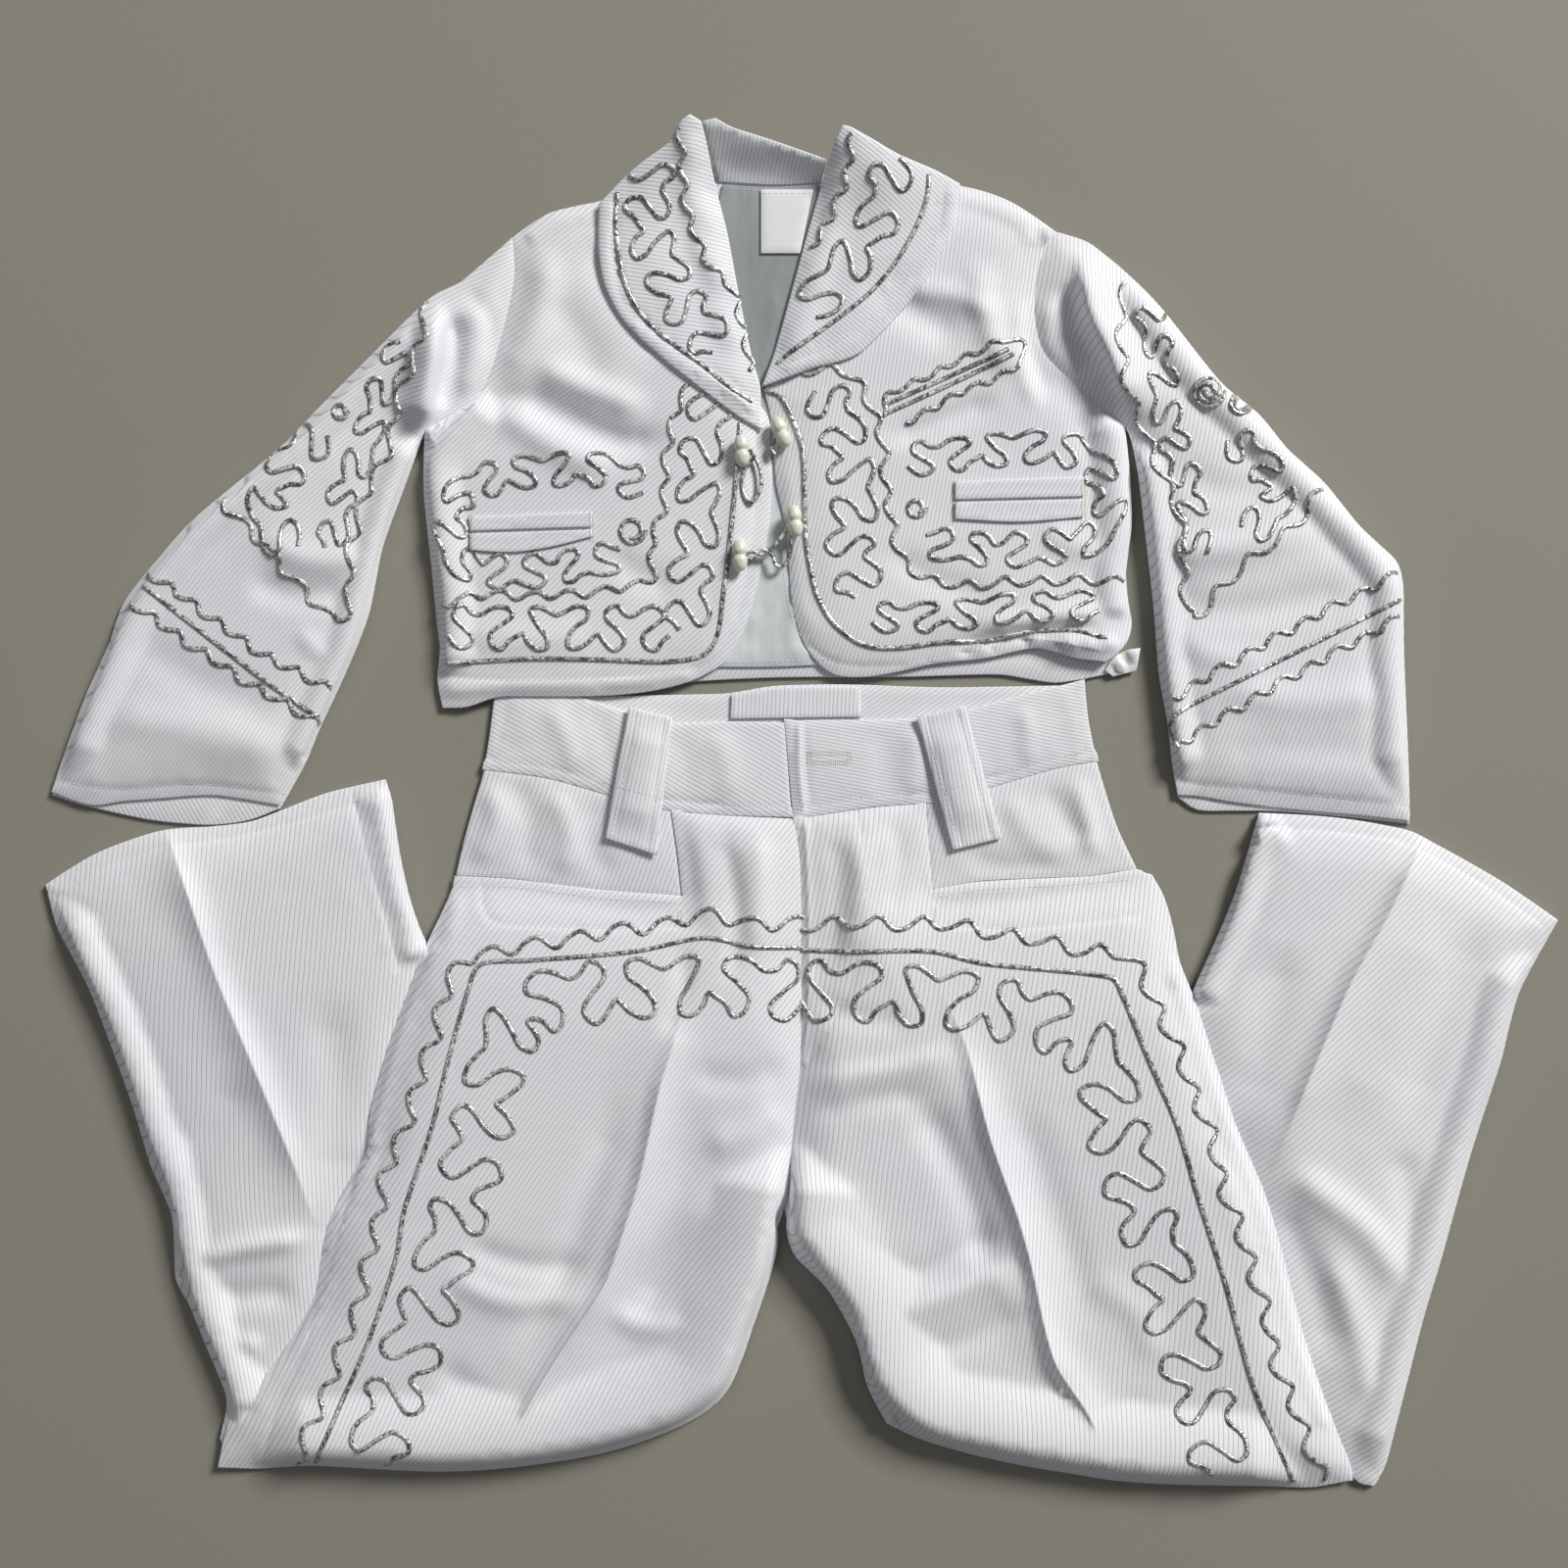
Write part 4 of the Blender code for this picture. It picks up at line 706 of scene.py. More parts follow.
@dataclass
class ClothPanel:
    """One cut of cloth, laid on the form of its solid.

    Attributes:
        node: CAD node that it stands for.
        finish: Its finish.
        slot: Its material slot; not used.
        rib: Direction of its ribs in degrees, anticlockwise from the sheet's right.
        pitch: Spacing of its ribs in millimetres.
        bow: How much its ribs bend, in millimetres at 100 mm from its middle.
        thick: Thickness in millimetres.
        grid: Spacing of its points in steps of the sheet.
        soften: How many times its heights are evened out.
        creases: Ridges and troughs laid in it.
        seams: Stitched lines that draw it down.
        shoulders: Rounded folds along its edges.
        unrest: Height of its small unevenness in millimetres.
        depth: Share of its creases' heights that it takes.
        puff: Height in millimetres that the air under it adds to its middle.
        held: Seams that keep it flat beside them.
        overlap: How far it reaches into its seams, in steps of the sheet.
        joins: Cloths that it laps over along their common seams.
        doubled: Whether it is a narrow strip that was cut wide and folded double.
        rests_on: What it lies on.
    """

    node: str
    finish: Finish = TWILL
    slot: Slot = Slot.TWILL
    rib: float = 60.0
    pitch: float = 2.1
    bow: float = 0.0
    thick: float = 1.2
    grid: float = 6.0
    soften: int = 5
    creases: list[Crease] = field(default_factory=list)
    seams: list[Path] = field(default_factory=list)
    shoulders: list[Shoulder] = field(default_factory=list)
    unrest: float = 0.16
    depth: float = 1.55
    puff: float = 0.0
    held: list[Path] = field(default_factory=list)
    overlap: float = 0.7
    joins: tuple[str, ...] = ()
    doubled: bool = False
    rests_on: tuple[str, ...] = ()

    def feature_points(self, line: np.ndarray) -> np.ndarray:
        """Points along keen creases and seams, so that the mesh follows them."""
        rows = []
        lines = [(c.path, 1.6) for c in self.creases if c.keen]
        lines += [(path, 1.7) for path in self.seams]
        for path, side in lines:
            run = smooth_path(path, self.grid * 0.8)
            way = np.gradient(run, axis=0)
            way /= np.maximum(1e-9, np.linalg.norm(way, axis=1))[:, None]
            across = np.stack([-way[:, 1], way[:, 0]], axis=1)
            rows += [run + across * side * share for share in (-1, 0, 1)]
        for shoulder in self.shoulders:
            run = smooth_path(shoulder.path, self.grid * 0.7)
            way = np.gradient(run, axis=0)
            way /= np.maximum(1e-9, np.linalg.norm(way, axis=1))[:, None]
            across = np.stack([-way[:, 1], way[:, 0]], axis=1)
            rows += [run + across * side for side in (-8, -4.6, 4.6, 8)]
        if not rows:
            return np.empty((0, 2))
        points = np.vstack(rows)
        points = points[holds(line, points)]
        return points[reach_of(points, line, True)[0] > 2.0]

    def grid_points(self, line: np.ndarray, kept: np.ndarray) -> np.ndarray:
        """Even points inside a closed line, clear of it and of the points kept."""
        row_step = self.grid * math.sqrt(3) / 2
        low, high = line.min(axis=0), line.max(axis=0)
        rows = np.arange(int(low[1] / row_step), int(high[1] / row_step) + 2)
        columns = np.arange(int(low[0] / self.grid) - 1, int(high[0] / self.grid) + 2)
        x = columns[None, :] * self.grid + (rows[:, None] % 2) * self.grid / 2
        y = np.repeat(rows[:, None] * row_step, len(columns), axis=1)
        points = np.stack([x.ravel(), y.ravel()], axis=1)
        points = points[holds(line, points)]
        points = points[reach_of(points, line, True)[0] > self.grid * 0.45]
        if len(kept):
            cells = {(int(a // 3), int(b // 3)) for a, b in kept}
            near = [any((int(a // 3) + i, int(b // 3) + j) in cells
                        for i in (-1, 0, 1) for j in (-1, 0, 1)) for a, b in points]
            points = points[~np.array(near, dtype=bool)]
        return points

    def evened(self, height: np.ndarray, fixed: int, faces: np.ndarray) -> np.ndarray:
        """Heights evened out between neighbours, with the first few fixed."""
        pairs = np.vstack([faces[:, [0, 1]], faces[:, [1, 2]], faces[:, [2, 0]]])
        pairs = np.vstack([pairs, pairs[:, ::-1]])
        count = np.bincount(pairs[:, 0], minlength=len(height))
        for _ in range(self.soften):
            total = np.bincount(pairs[:, 0], weights=height[pairs[:, 1]], minlength=len(height))
            fresh = total / np.maximum(1, count)
            fresh[:fixed] = height[:fixed]
            height = fresh
        return height

    def lapped(self, line: np.ndarray) -> tuple[np.ndarray, np.ndarray]:
        """How its rim laps over its neighbours.

        Args:
            line: Rows of the rim.

        Returns:
            Share of the lap at each point, from 0 to 1, and the height of the neighbour there.
        """
        share, level = np.zeros(len(line)), line[:, 2].copy()
        for name in self.joins:
            other = smooth_path(TopOfSolid(name).rim(), 6.0, closed=True)
            gap = np.linalg.norm(line[:, None, :2] - other[None, :, :2], axis=2)
            here = np.clip((11.0 - gap.min(axis=1)) / 5.0, 0.0, 1.0)
            level = np.where(here > share, other[gap.argmin(axis=1), 2], level)
            share = np.maximum(share, here)
        return share, level

    def carried(self, points: np.ndarray) -> np.ndarray:
        """Least height at points, clear of what the cloth rests on."""
        least = np.full(len(points), self.thick + 0.1)
        for name in self.rests_on:
            cover = Covering([bpy.data.objects[name + "_cloth"]])
            for index, (x, y) in enumerate(points):
                high = cover.height(x, y)
                if high is not None:
                    least[index] = max(least[index], high + self.thick + 0.12)
        return least

    def weave_map(self, rows: np.ndarray) -> np.ndarray:
        """Weave coordinates of rows on the sheet: ribs across, and the same length along."""
        angle = math.radians(self.rib)
        middle = (rows[:, :2].min(axis=0) + rows[:, :2].max(axis=0)) / 2
        x = (rows[:, 0] - middle[0]) * STEP
        y = (middle[1] - rows[:, 1]) * STEP
        along = x * math.cos(angle) + y * math.sin(angle)
        across = -x * math.sin(angle) + y * math.cos(angle)
        across = across + self.bow * (along / 100.0) ** 2
        sway = np.array([noise.noise(Vector((a / 70.0, b / 70.0, 3.7))) for a, b in zip(x, y)])
        across = across + 1.2 * sway + (rows[:, 2] - rows[:, 2].mean()) * 0.35
        return np.stack([across, along], axis=1) / self.pitch

    def shape(self) -> tuple[np.ndarray, list[list[int]], int]:
        """Closed wall of the cloth.

        Returns:
            Rows on the sheet, faces, and how many of the faces are the upper side.
        """
        top = TopOfSolid(self.node)
        line = softened_rim(top.rim(), 5.0 if self.grid < 10 else 9.0, 36.0)
        lap, level = self.lapped(line)
        line = drawn_in(line, -0.4 - self.overlap - 2.4 * lap)
        line[:, 2] += lap * (np.maximum(level - line[:, 2], 0.0) + 0.4)
        half = self.thick / 2
        inner = drawn_in(line, half / STEP * 0.9)
        kept = self.feature_points(inner)
        inside = np.vstack([kept, self.grid_points(inner, kept)])
        flat = [Vector((x, -y)) for x, y in inner[:, :2]] + [Vector((x, -y)) for x, y in inside]
        made = delaunay_2d_cdt(flat, [], [list(range(len(inner)))], 1, 1e-6)
        source = [ids[0] if ids else -1 for ids in made[3]]
        points = np.array([(v.x, -v.y) for v in made[0]])
        order = sorted(range(len(points)), key=lambda i: (
            source[i] if 0 <= source[i] < len(inner) else len(inner) + i))
        place = {old: new for new, old in enumerate(order)}
        points = points[order]
        faces = []
        for face in made[2]:
            ring = [place[i] for i in face]
            a, b, c = (points[i] for i in ring[:3])
            if (b[0] - a[0]) * (c[1] - a[1]) - (b[1] - a[1]) * (c[0] - a[0]) > 0:
                ring.reverse()
            faces.append(ring)
        rim = len(inner)
        height = np.concatenate([inner[:, 2], top.heights(points[rim:])])
        height = self.evened(height, rim, np.array(faces))
        edge = reach_of(points, line, True)[0] * STEP
        calm = np.clip(edge / 6.0, 0.0, 1.0)
        full = np.clip(edge / 26.0, 0.0, 1.0)
        for seam in self.held:
            away = reach_of(points, smooth_path(seam, 20.0), False)[0] * STEP
            full = np.minimum(full, np.clip(away / 70.0, 0.0, 1.0))
        height = height + self.puff * full * (2 - full)
        for crease in self.creases:
            height = height + crease.lift(points) * self.depth * (0.35 + 0.65 * calm)
        for shoulder in self.shoulders:
            height = shoulder.raised(points, height)
        for seam in self.seams:
            gap = reach_of(points, smooth_path(seam, 10.0), False)[0] * STEP
            height = height - 0.34 * np.exp(-(gap / 0.9) ** 2) + 0.12 * np.exp(
                -((gap - 2.6) / 1.3) ** 2)
        least = self.carried(points)
        height = least + 0.5 * np.logaddexp(0.0, (height - least) / 0.5)
        height[:rim] = least[:rim] + 0.2 if self.doubled else np.minimum(
            height[:rim], np.maximum(inner[:, 2], least[:rim]) + 0.3)
        wander = np.array([noise.noise(Vector((x / 46.0, y / 46.0, 1.3)))
                           + 0.5 * noise.noise(Vector((x / 19.0, y / 19.0, 8.1)))
                           for x, y in points])
        height = height + self.unrest * wander * calm
        under = np.maximum(height - self.thick, 0.02)
        upper = np.column_stack([points, height])
        lower = np.column_stack([points, under])
        rings = []
        for lean in (45.0, 0.0, -45.0):
            ring = drawn_in(line, half / STEP * 0.9 * (1 - math.cos(math.radians(lean))))
            share = 0.5 + 0.5 * math.sin(math.radians(lean))
            ring[:, 2] = under[:rim] + (height[:rim] - under[:rim]) * share
            rings.append(ring)
        rows = np.vstack([upper, lower, *rings])
        count = len(points)
        walls = list(faces) + [[i + count for i in reversed(face)] for face in faces]
        starts = [0, 2 * count, 2 * count + rim, 2 * count + 2 * rim, count]
        for above, below in zip(starts, starts[1:]):
            for i in range(rim):
                j = (i + 1) % rim
                walls.append([below + i, below + j, above + j, above + i])
        return rows, walls, len(faces)

    def build(self) -> bpy.types.Object:
        """Make the cloth, dress it and put it in its place.

        Returns:
            The finished piece.
        """
        rows, faces, upper = self.shape()
        places = SHEET.world(rows)
        piece = woven(self.node, places, faces, self.weave_map(rows), self.finish)
        ring = np.array(faces[:upper])
        a, b, c = (places[ring[:, i]] for i in range(3))
        area = float(np.linalg.norm(np.cross(b - a, c - a), axis=1).sum()) / 2
        cut = sorted(cut_size(places[:, :2], area))
        if self.doubled:
            cut[0] = max(0.0102, min(2.2 * cut[0], area / 0.35 / cut[1]))
        logging.info("%s: %d faces, cut of %.0f square centimetres",
                     piece.name, len(faces), area * 1e4)
        return piece


def woven(node: str, places: np.ndarray, faces: list[list[int]], weave: np.ndarray,
          finish: Finish) -> bpy.types.Object:
    """Put a piece of cloth in its node's place.

    Args:
        node: CAD node that it stands for.
        places: Its points in metres.
        faces: Its faces.
        weave: Weave coordinates of its points.
        finish: Its finish.

    Returns:
        The finished piece.
    """
    mesh = bpy.data.meshes.new(node + "_cloth")
    mesh.from_pydata(places.tolist(), [], faces)
    mesh.shade_smooth()
    corners = np.empty(len(mesh.loops), np.int32)
    mesh.loops.foreach_get("vertex_index", corners)
    mesh.uv_layers.new(name="weave").data.foreach_set(
        "uv", weave[corners].astype(np.float32).ravel())
    mesh.materials.append(finish.material())
    piece = bpy.data.objects.new(node + "_cloth", mesh)
    bpy.context.collection.objects.link(piece)
    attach(piece, "root")
    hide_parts(node)
    return piece


def cut_size(places: np.ndarray, area: float) -> tuple[float, float]:
    """Sides in metres of the smallest rectangle round a cut, at least as large as its area."""
    best = (1e9, (1.0, 1.0))
    for degrees in range(0, 90, 3):
        angle = math.radians(degrees)
        turn = np.array([[math.cos(angle), -math.sin(angle)], [math.sin(angle), math.cos(angle)]])
        size = np.ptp(places @ turn, axis=0)
        best = min(best, (float(size[0] * size[1]), (float(size[0]), float(size[1]))))
    wide, long = best[1]
    grow = max(1.0, math.sqrt(area / max(1e-9, wide * long)) * 1.001)
    return wide * grow, long * grow


@dataclass
class FoldedLayers:
    """Hidden layers of a folded leg: three rounded walls that show at their edges.

    Attributes:
        node: CAD node that they stand for.
        layers: How many walls lie on each other.
        grid: Spacing of their points in steps of the sheet.
    """

    node: str
    layers: int = 3
    grid: float = 22.0

    def build(self) -> bpy.types.Object:
        """Make the walls as one piece."""
        top = TopOfSolid(self.node)
        rim = softened_rim(top.rim(), 6.0, 36.0)
        helper = ClothPanel(self.node, grid=self.grid)
        all_rows, all_faces, area = [], [], 0.0
        for layer in range(self.layers):
            line = drawn_in(rim, 0.5 + 0.9 * ((layer * 2) % 3) + 0.4 * layer)
            inner = drawn_in(line, 1.0)
            inside = helper.grid_points(inner, np.empty((0, 2)))
            flat = [Vector((x, -y)) for x, y in np.vstack([inner[:, :2], inside])]
            made = delaunay_2d_cdt(flat, [], [list(range(len(inner)))], 1, 1e-6)
            points = np.array([(v.x, -v.y) for v in made[0]])
            whole = np.concatenate([inner[:, 2], top.heights(points[len(inner):])])
            low = whole * layer / self.layers + 0.04
            high = whole * (layer + 1) / self.layers - 0.04
            middle = np.column_stack([line[:, :2], (low + high)[:len(inner)] / 2])
            rows = np.vstack([np.column_stack([points, high]),
                              np.column_stack([points, low]), middle])
            base, count, edge = sum(map(len, all_rows)), len(points), len(inner)
            for face in made[2]:
                ring = list(face)
                a, b, c = (points[i] for i in ring[:3])
                if (b[0] - a[0]) * (c[1] - a[1]) - (b[1] - a[1]) * (c[0] - a[0]) > 0:
                    ring.reverse()
                all_faces.append([base + i for i in ring])
                all_faces.append([base + count + i for i in reversed(ring)])
                area += 0.5 * abs(float(np.cross(b - a, c - a))) * (STEP * MM) ** 2
            for above, below in ((0, 2 * count), (2 * count, count)):
                for i in range(edge):
                    j = (i + 1) % edge
                    all_faces.append([base + below + i, base + below + j,
                                      base + above + j, base + above + i])
            all_rows.append(rows)
        rows = np.vstack(all_rows)
        places = SHEET.world(rows)
        piece = woven(self.node, places, all_faces, helper.weave_map(rows), TWILL)
        logging.info("%s: %d faces in %d layers", piece.name, len(all_faces), self.layers)
        return piece


# ------------------------------------------------------------------------ cord and stitch trees


class Covering:
    """Upper surface of finished pieces, read on the sheet."""

    def __init__(self, pieces: list[bpy.types.Object]) -> None:
        """Keep a search tree of the pieces' faces in sheet coordinates."""
        points, faces = [], []
        for piece in pieces:
            places = np.empty(len(piece.data.vertices) * 3, np.float32)
            piece.data.vertices.foreach_get("co", places)
            base = len(points)
            points += SHEET.rows(places.reshape(-1, 3).astype(float)).tolist()
            faces += [[base + i for i in face.vertices] for face in piece.data.polygons]
        self.tree = BVHTree.FromPolygons(points, faces)

    def height(self, x: float, y: float) -> float | None:
        """Height of the surface at a point of the sheet, or None beside it."""
        hit = self.tree.ray_cast(Vector((x, y, 200.0)), Vector((0, 0, -1)))
        return None if hit[0] is None else hit[0].z

    def laid(self, line: np.ndarray, lift: float, least: int = 4) -> list[np.ndarray]:
        """Runs of a line laid on the surface.

        Args:
            line: Points on the sheet.
            lift: Height of the line above the surface in millimetres.
            least: Fewest points of a run.

        Returns:
            Rows on the sheet, one array for each run that the surface carries.
        """
        runs, run = [], []
        for x, y in line[:, :2]:
            high = self.height(x, y)
            if high is None or (run and abs(high + lift - run[-1][2]) > 4.0):
                if len(run) >= least:
                    runs.append(np.array(run))
                run = []
            if high is not None:
                run.append((x, y, high + lift))
        if len(run) >= least:
            runs.append(np.array(run))
        return runs


def path_mesh(name: str, runs: list[np.ndarray]) -> bpy.types.Object:
    """Mesh of bare edges that follows runs on the sheet."""
    places, edges = [], []
    for run in runs:
        base = len(places)
        places += SHEET.world(run).tolist()
        edges += [(base + i, base + i + 1) for i in range(len(run) - 1)]
    mesh = bpy.data.meshes.new(name + "_path")
    mesh.from_pydata(places, edges, [])
    made = bpy.data.objects.new(name + "_path", mesh)
    bpy.context.collection.objects.link(made)
    return made


class NodeForm:
    """A Geometry Nodes tree with named inputs, and the mesh that it makes of a path."""

    def __init__(self, name: str, inputs: dict[str, float]) -> None:
        """Start the tree.

        Args:
            name: Name of the tree.
            inputs: Names of its number inputs, with their usual values.
        """
        self.tree = bpy.data.node_groups.new(name, "GeometryNodeTree")
        face = self.tree.interface
        face.new_socket("Geometry", in_out="INPUT", socket_type="NodeSocketGeometry")
        for label, value in inputs.items():
            face.new_socket(label, in_out="INPUT", socket_type="NodeSocketFloat"
                            ).default_value = value
        face.new_socket("Finish", in_out="INPUT", socket_type="NodeSocketMaterial")
        face.new_socket("Geometry", in_out="OUTPUT", socket_type="NodeSocketGeometry")
        self.sketch = Sketch(self.tree)
        self.given = self.sketch.node("NodeGroupInput").outputs

    def close(self, geometry: bpy.types.NodeSocket) -> None:
        """End the tree: instances made real, and the finish set."""
        real = self.sketch.node("GeometryNodeRealizeInstances", {"Geometry": geometry})
        done = self.sketch.node("GeometryNodeSetMaterial", {
            "Geometry": real.outputs[0], "Material": self.given["Finish"]})
        self.sketch.node("NodeGroupOutput", {"Geometry": done.outputs[0]})

    def make(self, name: str, runs: list[np.ndarray], finish: Finish,
             **values: float) -> bpy.types.Object:
        """Run the tree on paths.

        Args:
            name: Name of the piece.
            runs: Rows on the sheet, one array for each path.
            finish: Finish of the piece.
            **values: Other values for the tree's inputs.

        Returns:
            The piece as a plain mesh.
        """
        path = path_mesh(name, runs)
        form = path.modifiers.new("form", "NODES")
        form.node_group = self.tree
        sockets = {item.name: item.identifier for item in self.tree.interface.items_tree
                   if item.in_out == "INPUT"}
        for label, value in values.items():
            form[sockets[label.replace("_", " ")]] = value
        form[sockets["Finish"]] = finish.material()
        graph = bpy.context.evaluated_depsgraph_get()
        mesh = bpy.data.meshes.new_from_object(path.evaluated_get(graph))
        mesh.name = name
        piece = bpy.data.objects.new(name, mesh)
        bpy.context.collection.objects.link(piece)
        bpy.data.objects.remove(path, do_unlink=True)
        if not mesh.materials:
            mesh.materials.append(finish.material())
        mesh.shade_smooth()
        return piece


class CordForm(NodeForm):
    """Couched cord along paths: low and oval, uneven in width and slightly wobbly."""

    def __init__(self) -> None:
        """Build the tree."""
        super().__init__("couched_cord", {
            "Wide": 0.0023, "High": 0.0013, "Step": 0.0009, "Unevenness": 0.00012})
        s, given = self.sketch, self.given
        curve = s.node("GeometryNodeMeshToCurve", {"Mesh": given["Geometry"]}).outputs[0]
        even = s.node("GeometryNodeResampleCurve", {
            "Curve": curve, "Length": given["Step"]}, mode="LENGTH").outputs[0]
        upright = s.node("GeometryNodeSetCurveNormal", {"Curve": even}, mode="Z_UP").outputs[0]
        length = s.node("GeometryNodeSplineParameter").outputs["Length"]
        marked = s.node("GeometryNodeStoreNamedAttribute", {
            "Geometry": upright, "Name": "along", "Value": length},
            data_type="FLOAT", domain="POINT").outputs[0]
        spot = s.node("GeometryNodeInputPosition").outputs[0]
        width = s.maths("MULTIPLY_ADD", s.noise(spot, 260.0, 1.0), 0.24, 0.88)
        marked = s.node("GeometryNodeSetCurveRadius", {
            "Curve": marked, "Radius": width}).outputs[0]
        ring = s.node("GeometryNodeCurvePrimitiveCircle", {"Resolution": 8, "Radius": 0.5})
        turn = s.node("GeometryNodeSplineParameter").outputs["Factor"]
        ring = s.node("GeometryNodeStoreNamedAttribute", {
            "Geometry": ring.outputs[0], "Name": "around", "Value": turn},
            data_type="FLOAT", domain="POINT").outputs[0]
        # The share 'back' runs across the oval's height; the cord's finish uses it to paint shade
        # on the sides.
        low = s.node("ShaderNodeSeparateXYZ", {"Vector": spot}).outputs["Y"]
        ring = s.node("GeometryNodeStoreNamedAttribute", {
            "Geometry": ring, "Name": "back", "Value": s.maths("MULTIPLY", low, -2.0)},
            data_type="FLOAT", domain="POINT").outputs[0]
        size = s.node("ShaderNodeCombineXYZ", {
            "X": given["Wide"], "Y": given["High"], "Z": 1.0}).outputs[0]
        oval = s.node("GeometryNodeTransform", {"Geometry": ring, "Scale": size}).outputs[0]
        tube = s.node("GeometryNodeCurveToMesh", {
            "Curve": marked, "Profile Curve": oval, "Fill Caps": True})
        if "Scale" in tube.inputs:
            radius = s.node("GeometryNodeInputRadius").outputs[0]
            self.tree.links.new(radius, tube.inputs["Scale"])
        wild = s.node("ShaderNodeTexNoise", {"Vector": spot, "Scale": 520.0, "Detail": 1.0})
        centred = s.node("ShaderNodeVectorMath", {0: wild.outputs["Color"], 1: (0.5, 0.5, 0.5)},
                         operation="SUBTRACT").outputs[0]
        offset = s.node("ShaderNodeVectorMath", {0: centred, "Scale": given["Unevenness"]},
                        operation="SCALE").outputs[0]
        self.close(s.node("GeometryNodeSetPosition", {
            "Geometry": tube.outputs[0], "Offset": offset}).outputs[0])


class StitchForm(NodeForm):
    """Even stitches along paths."""

    def __init__(self) -> None:
        """Build the tree."""
        super().__init__("sewn_stitches", {"Pitch": 0.0028, "Long": 0.0021, "Thick": 0.00034})
        s, given = self.sketch, self.given
        curve = s.node("GeometryNodeMeshToCurve", {"Mesh": given["Geometry"]}).outputs[0]
        curve = s.node("GeometryNodeSetCurveNormal", {"Curve": curve}, mode="Z_UP").outputs[0]
        spots = s.node("GeometryNodeCurveToPoints", {
            "Curve": curve, "Length": given["Pitch"]}, mode="LENGTH")
        bead = s.node("GeometryNodeMeshUVSphere", {
            "Segments": 5, "Rings": 4, "Radius": 0.5}).outputs[0]
        size = s.node("ShaderNodeCombineXYZ", {
            "X": given["Thick"], "Y": given["Thick"], "Z": given["Long"]}).outputs[0]
        bead = s.node("GeometryNodeTransform", {"Geometry": bead, "Scale": size}).outputs[0]
        lean = s.node("FunctionNodeRandomValue", {
            "Min": (-0.07, -0.05, 0.0), "Max": (0.07, 0.05, 0.0), "Seed": 3},
            data_type="FLOAT_VECTOR").outputs[0]
        turned = s.node("FunctionNodeRotateRotation", {
            "Rotation": spots.outputs["Rotation"], "Rotate By": lean},
            rotation_space="LOCAL").outputs[0]
        sewn = s.node("GeometryNodeInstanceOnPoints", {
            "Points": spots.outputs["Points"], "Instance": bead, "Rotation": turned}).outputs[0]
        self.close(sewn)


# Unit of the meander, listed point by point: share of its length, share of its half width.
MEANDER_UNIT = [
    (0.00, 0.28), (0.08, 0.72), (0.19, 1.00), (0.31, 0.86), (0.32, 0.46), (0.22, 0.02),
    (0.11, -0.46), (0.10, -0.86), (0.22, -1.00), (0.33, -0.72), (0.44, -0.58), (0.56, -0.80),
    (0.70, -1.00), (0.83, -0.86), (0.84, -0.46), (0.70, -0.08), (0.58, 0.36), (0.60, 0.84),
    (0.72, 0.98), (0.83, 0.66), (0.92, 0.40),
]


@dataclass(frozen=True)
class CordRun:
    """One run of silver cord on the sheet.

    Attributes:
        kind: Way in which it runs.
        path: Its middle line.
        half: Half its width across the path, in steps of the sheet.
        unit: Length of one wave or unit of the meander, in steps of the sheet.
        flip: Whether the meander is mirrored across its path.
    """

    kind: Line
    path: Path
    half: float = 6.0
    unit: float = 44.0
    flip: bool = False

    def trace(self) -> np.ndarray:
        """Points of the cord on the sheet."""
        line = smooth_path(self.path, 2.0)
        if self.kind is Line.PLAIN:
            return line
        gone = np.concatenate([[0.0], np.cumsum(np.linalg.norm(np.diff(line, axis=0), axis=1))])
        way = np.gradient(line, axis=0)
        way /= np.maximum(1e-9, np.linalg.norm(way, axis=1))[:, None]
        kernel = np.ones(9) / 9
        way = np.stack([np.convolve(np.pad(way[:, i], 4, mode="edge"), kernel, "valid")
                        for i in (0, 1)], axis=1)
        way /= np.maximum(1e-9, np.linalg.norm(way, axis=1))[:, None]
        side = np.stack([-way[:, 1], way[:, 0]], axis=1) * (-1 if self.flip else 1)
        count = max(1, round(gone[-1] / self.unit))
        if self.kind is Line.WAVY:
            phase = 2 * math.pi * gone / gone[-1] * count
            wave = np.sin(phase) + 0.16 * np.sin(2 * phase + 0.9) + 0.2 * np.sin(
                phase * 0.47 + 1.1)
            return line + side * (wave * self.half)[:, None]
        spots = []
        for index in range(count):
            for step, (share, across) in enumerate(MEANDER_UNIT):
                stray = 0.06 * math.sin(index * 2.7 + step * 1.9)
                at = (index + share + stray * 0.25) / count * gone[-1]
                middle = np.array([np.interp(at, gone, line[:, i]) for i in (0, 1)])
                out = np.array([np.interp(at, gone, side[:, i]) for i in (0, 1)])
                spots.append(tuple(middle + out * across * (1 + stray) * self.half))
        return smooth_path(spots, 2.0)


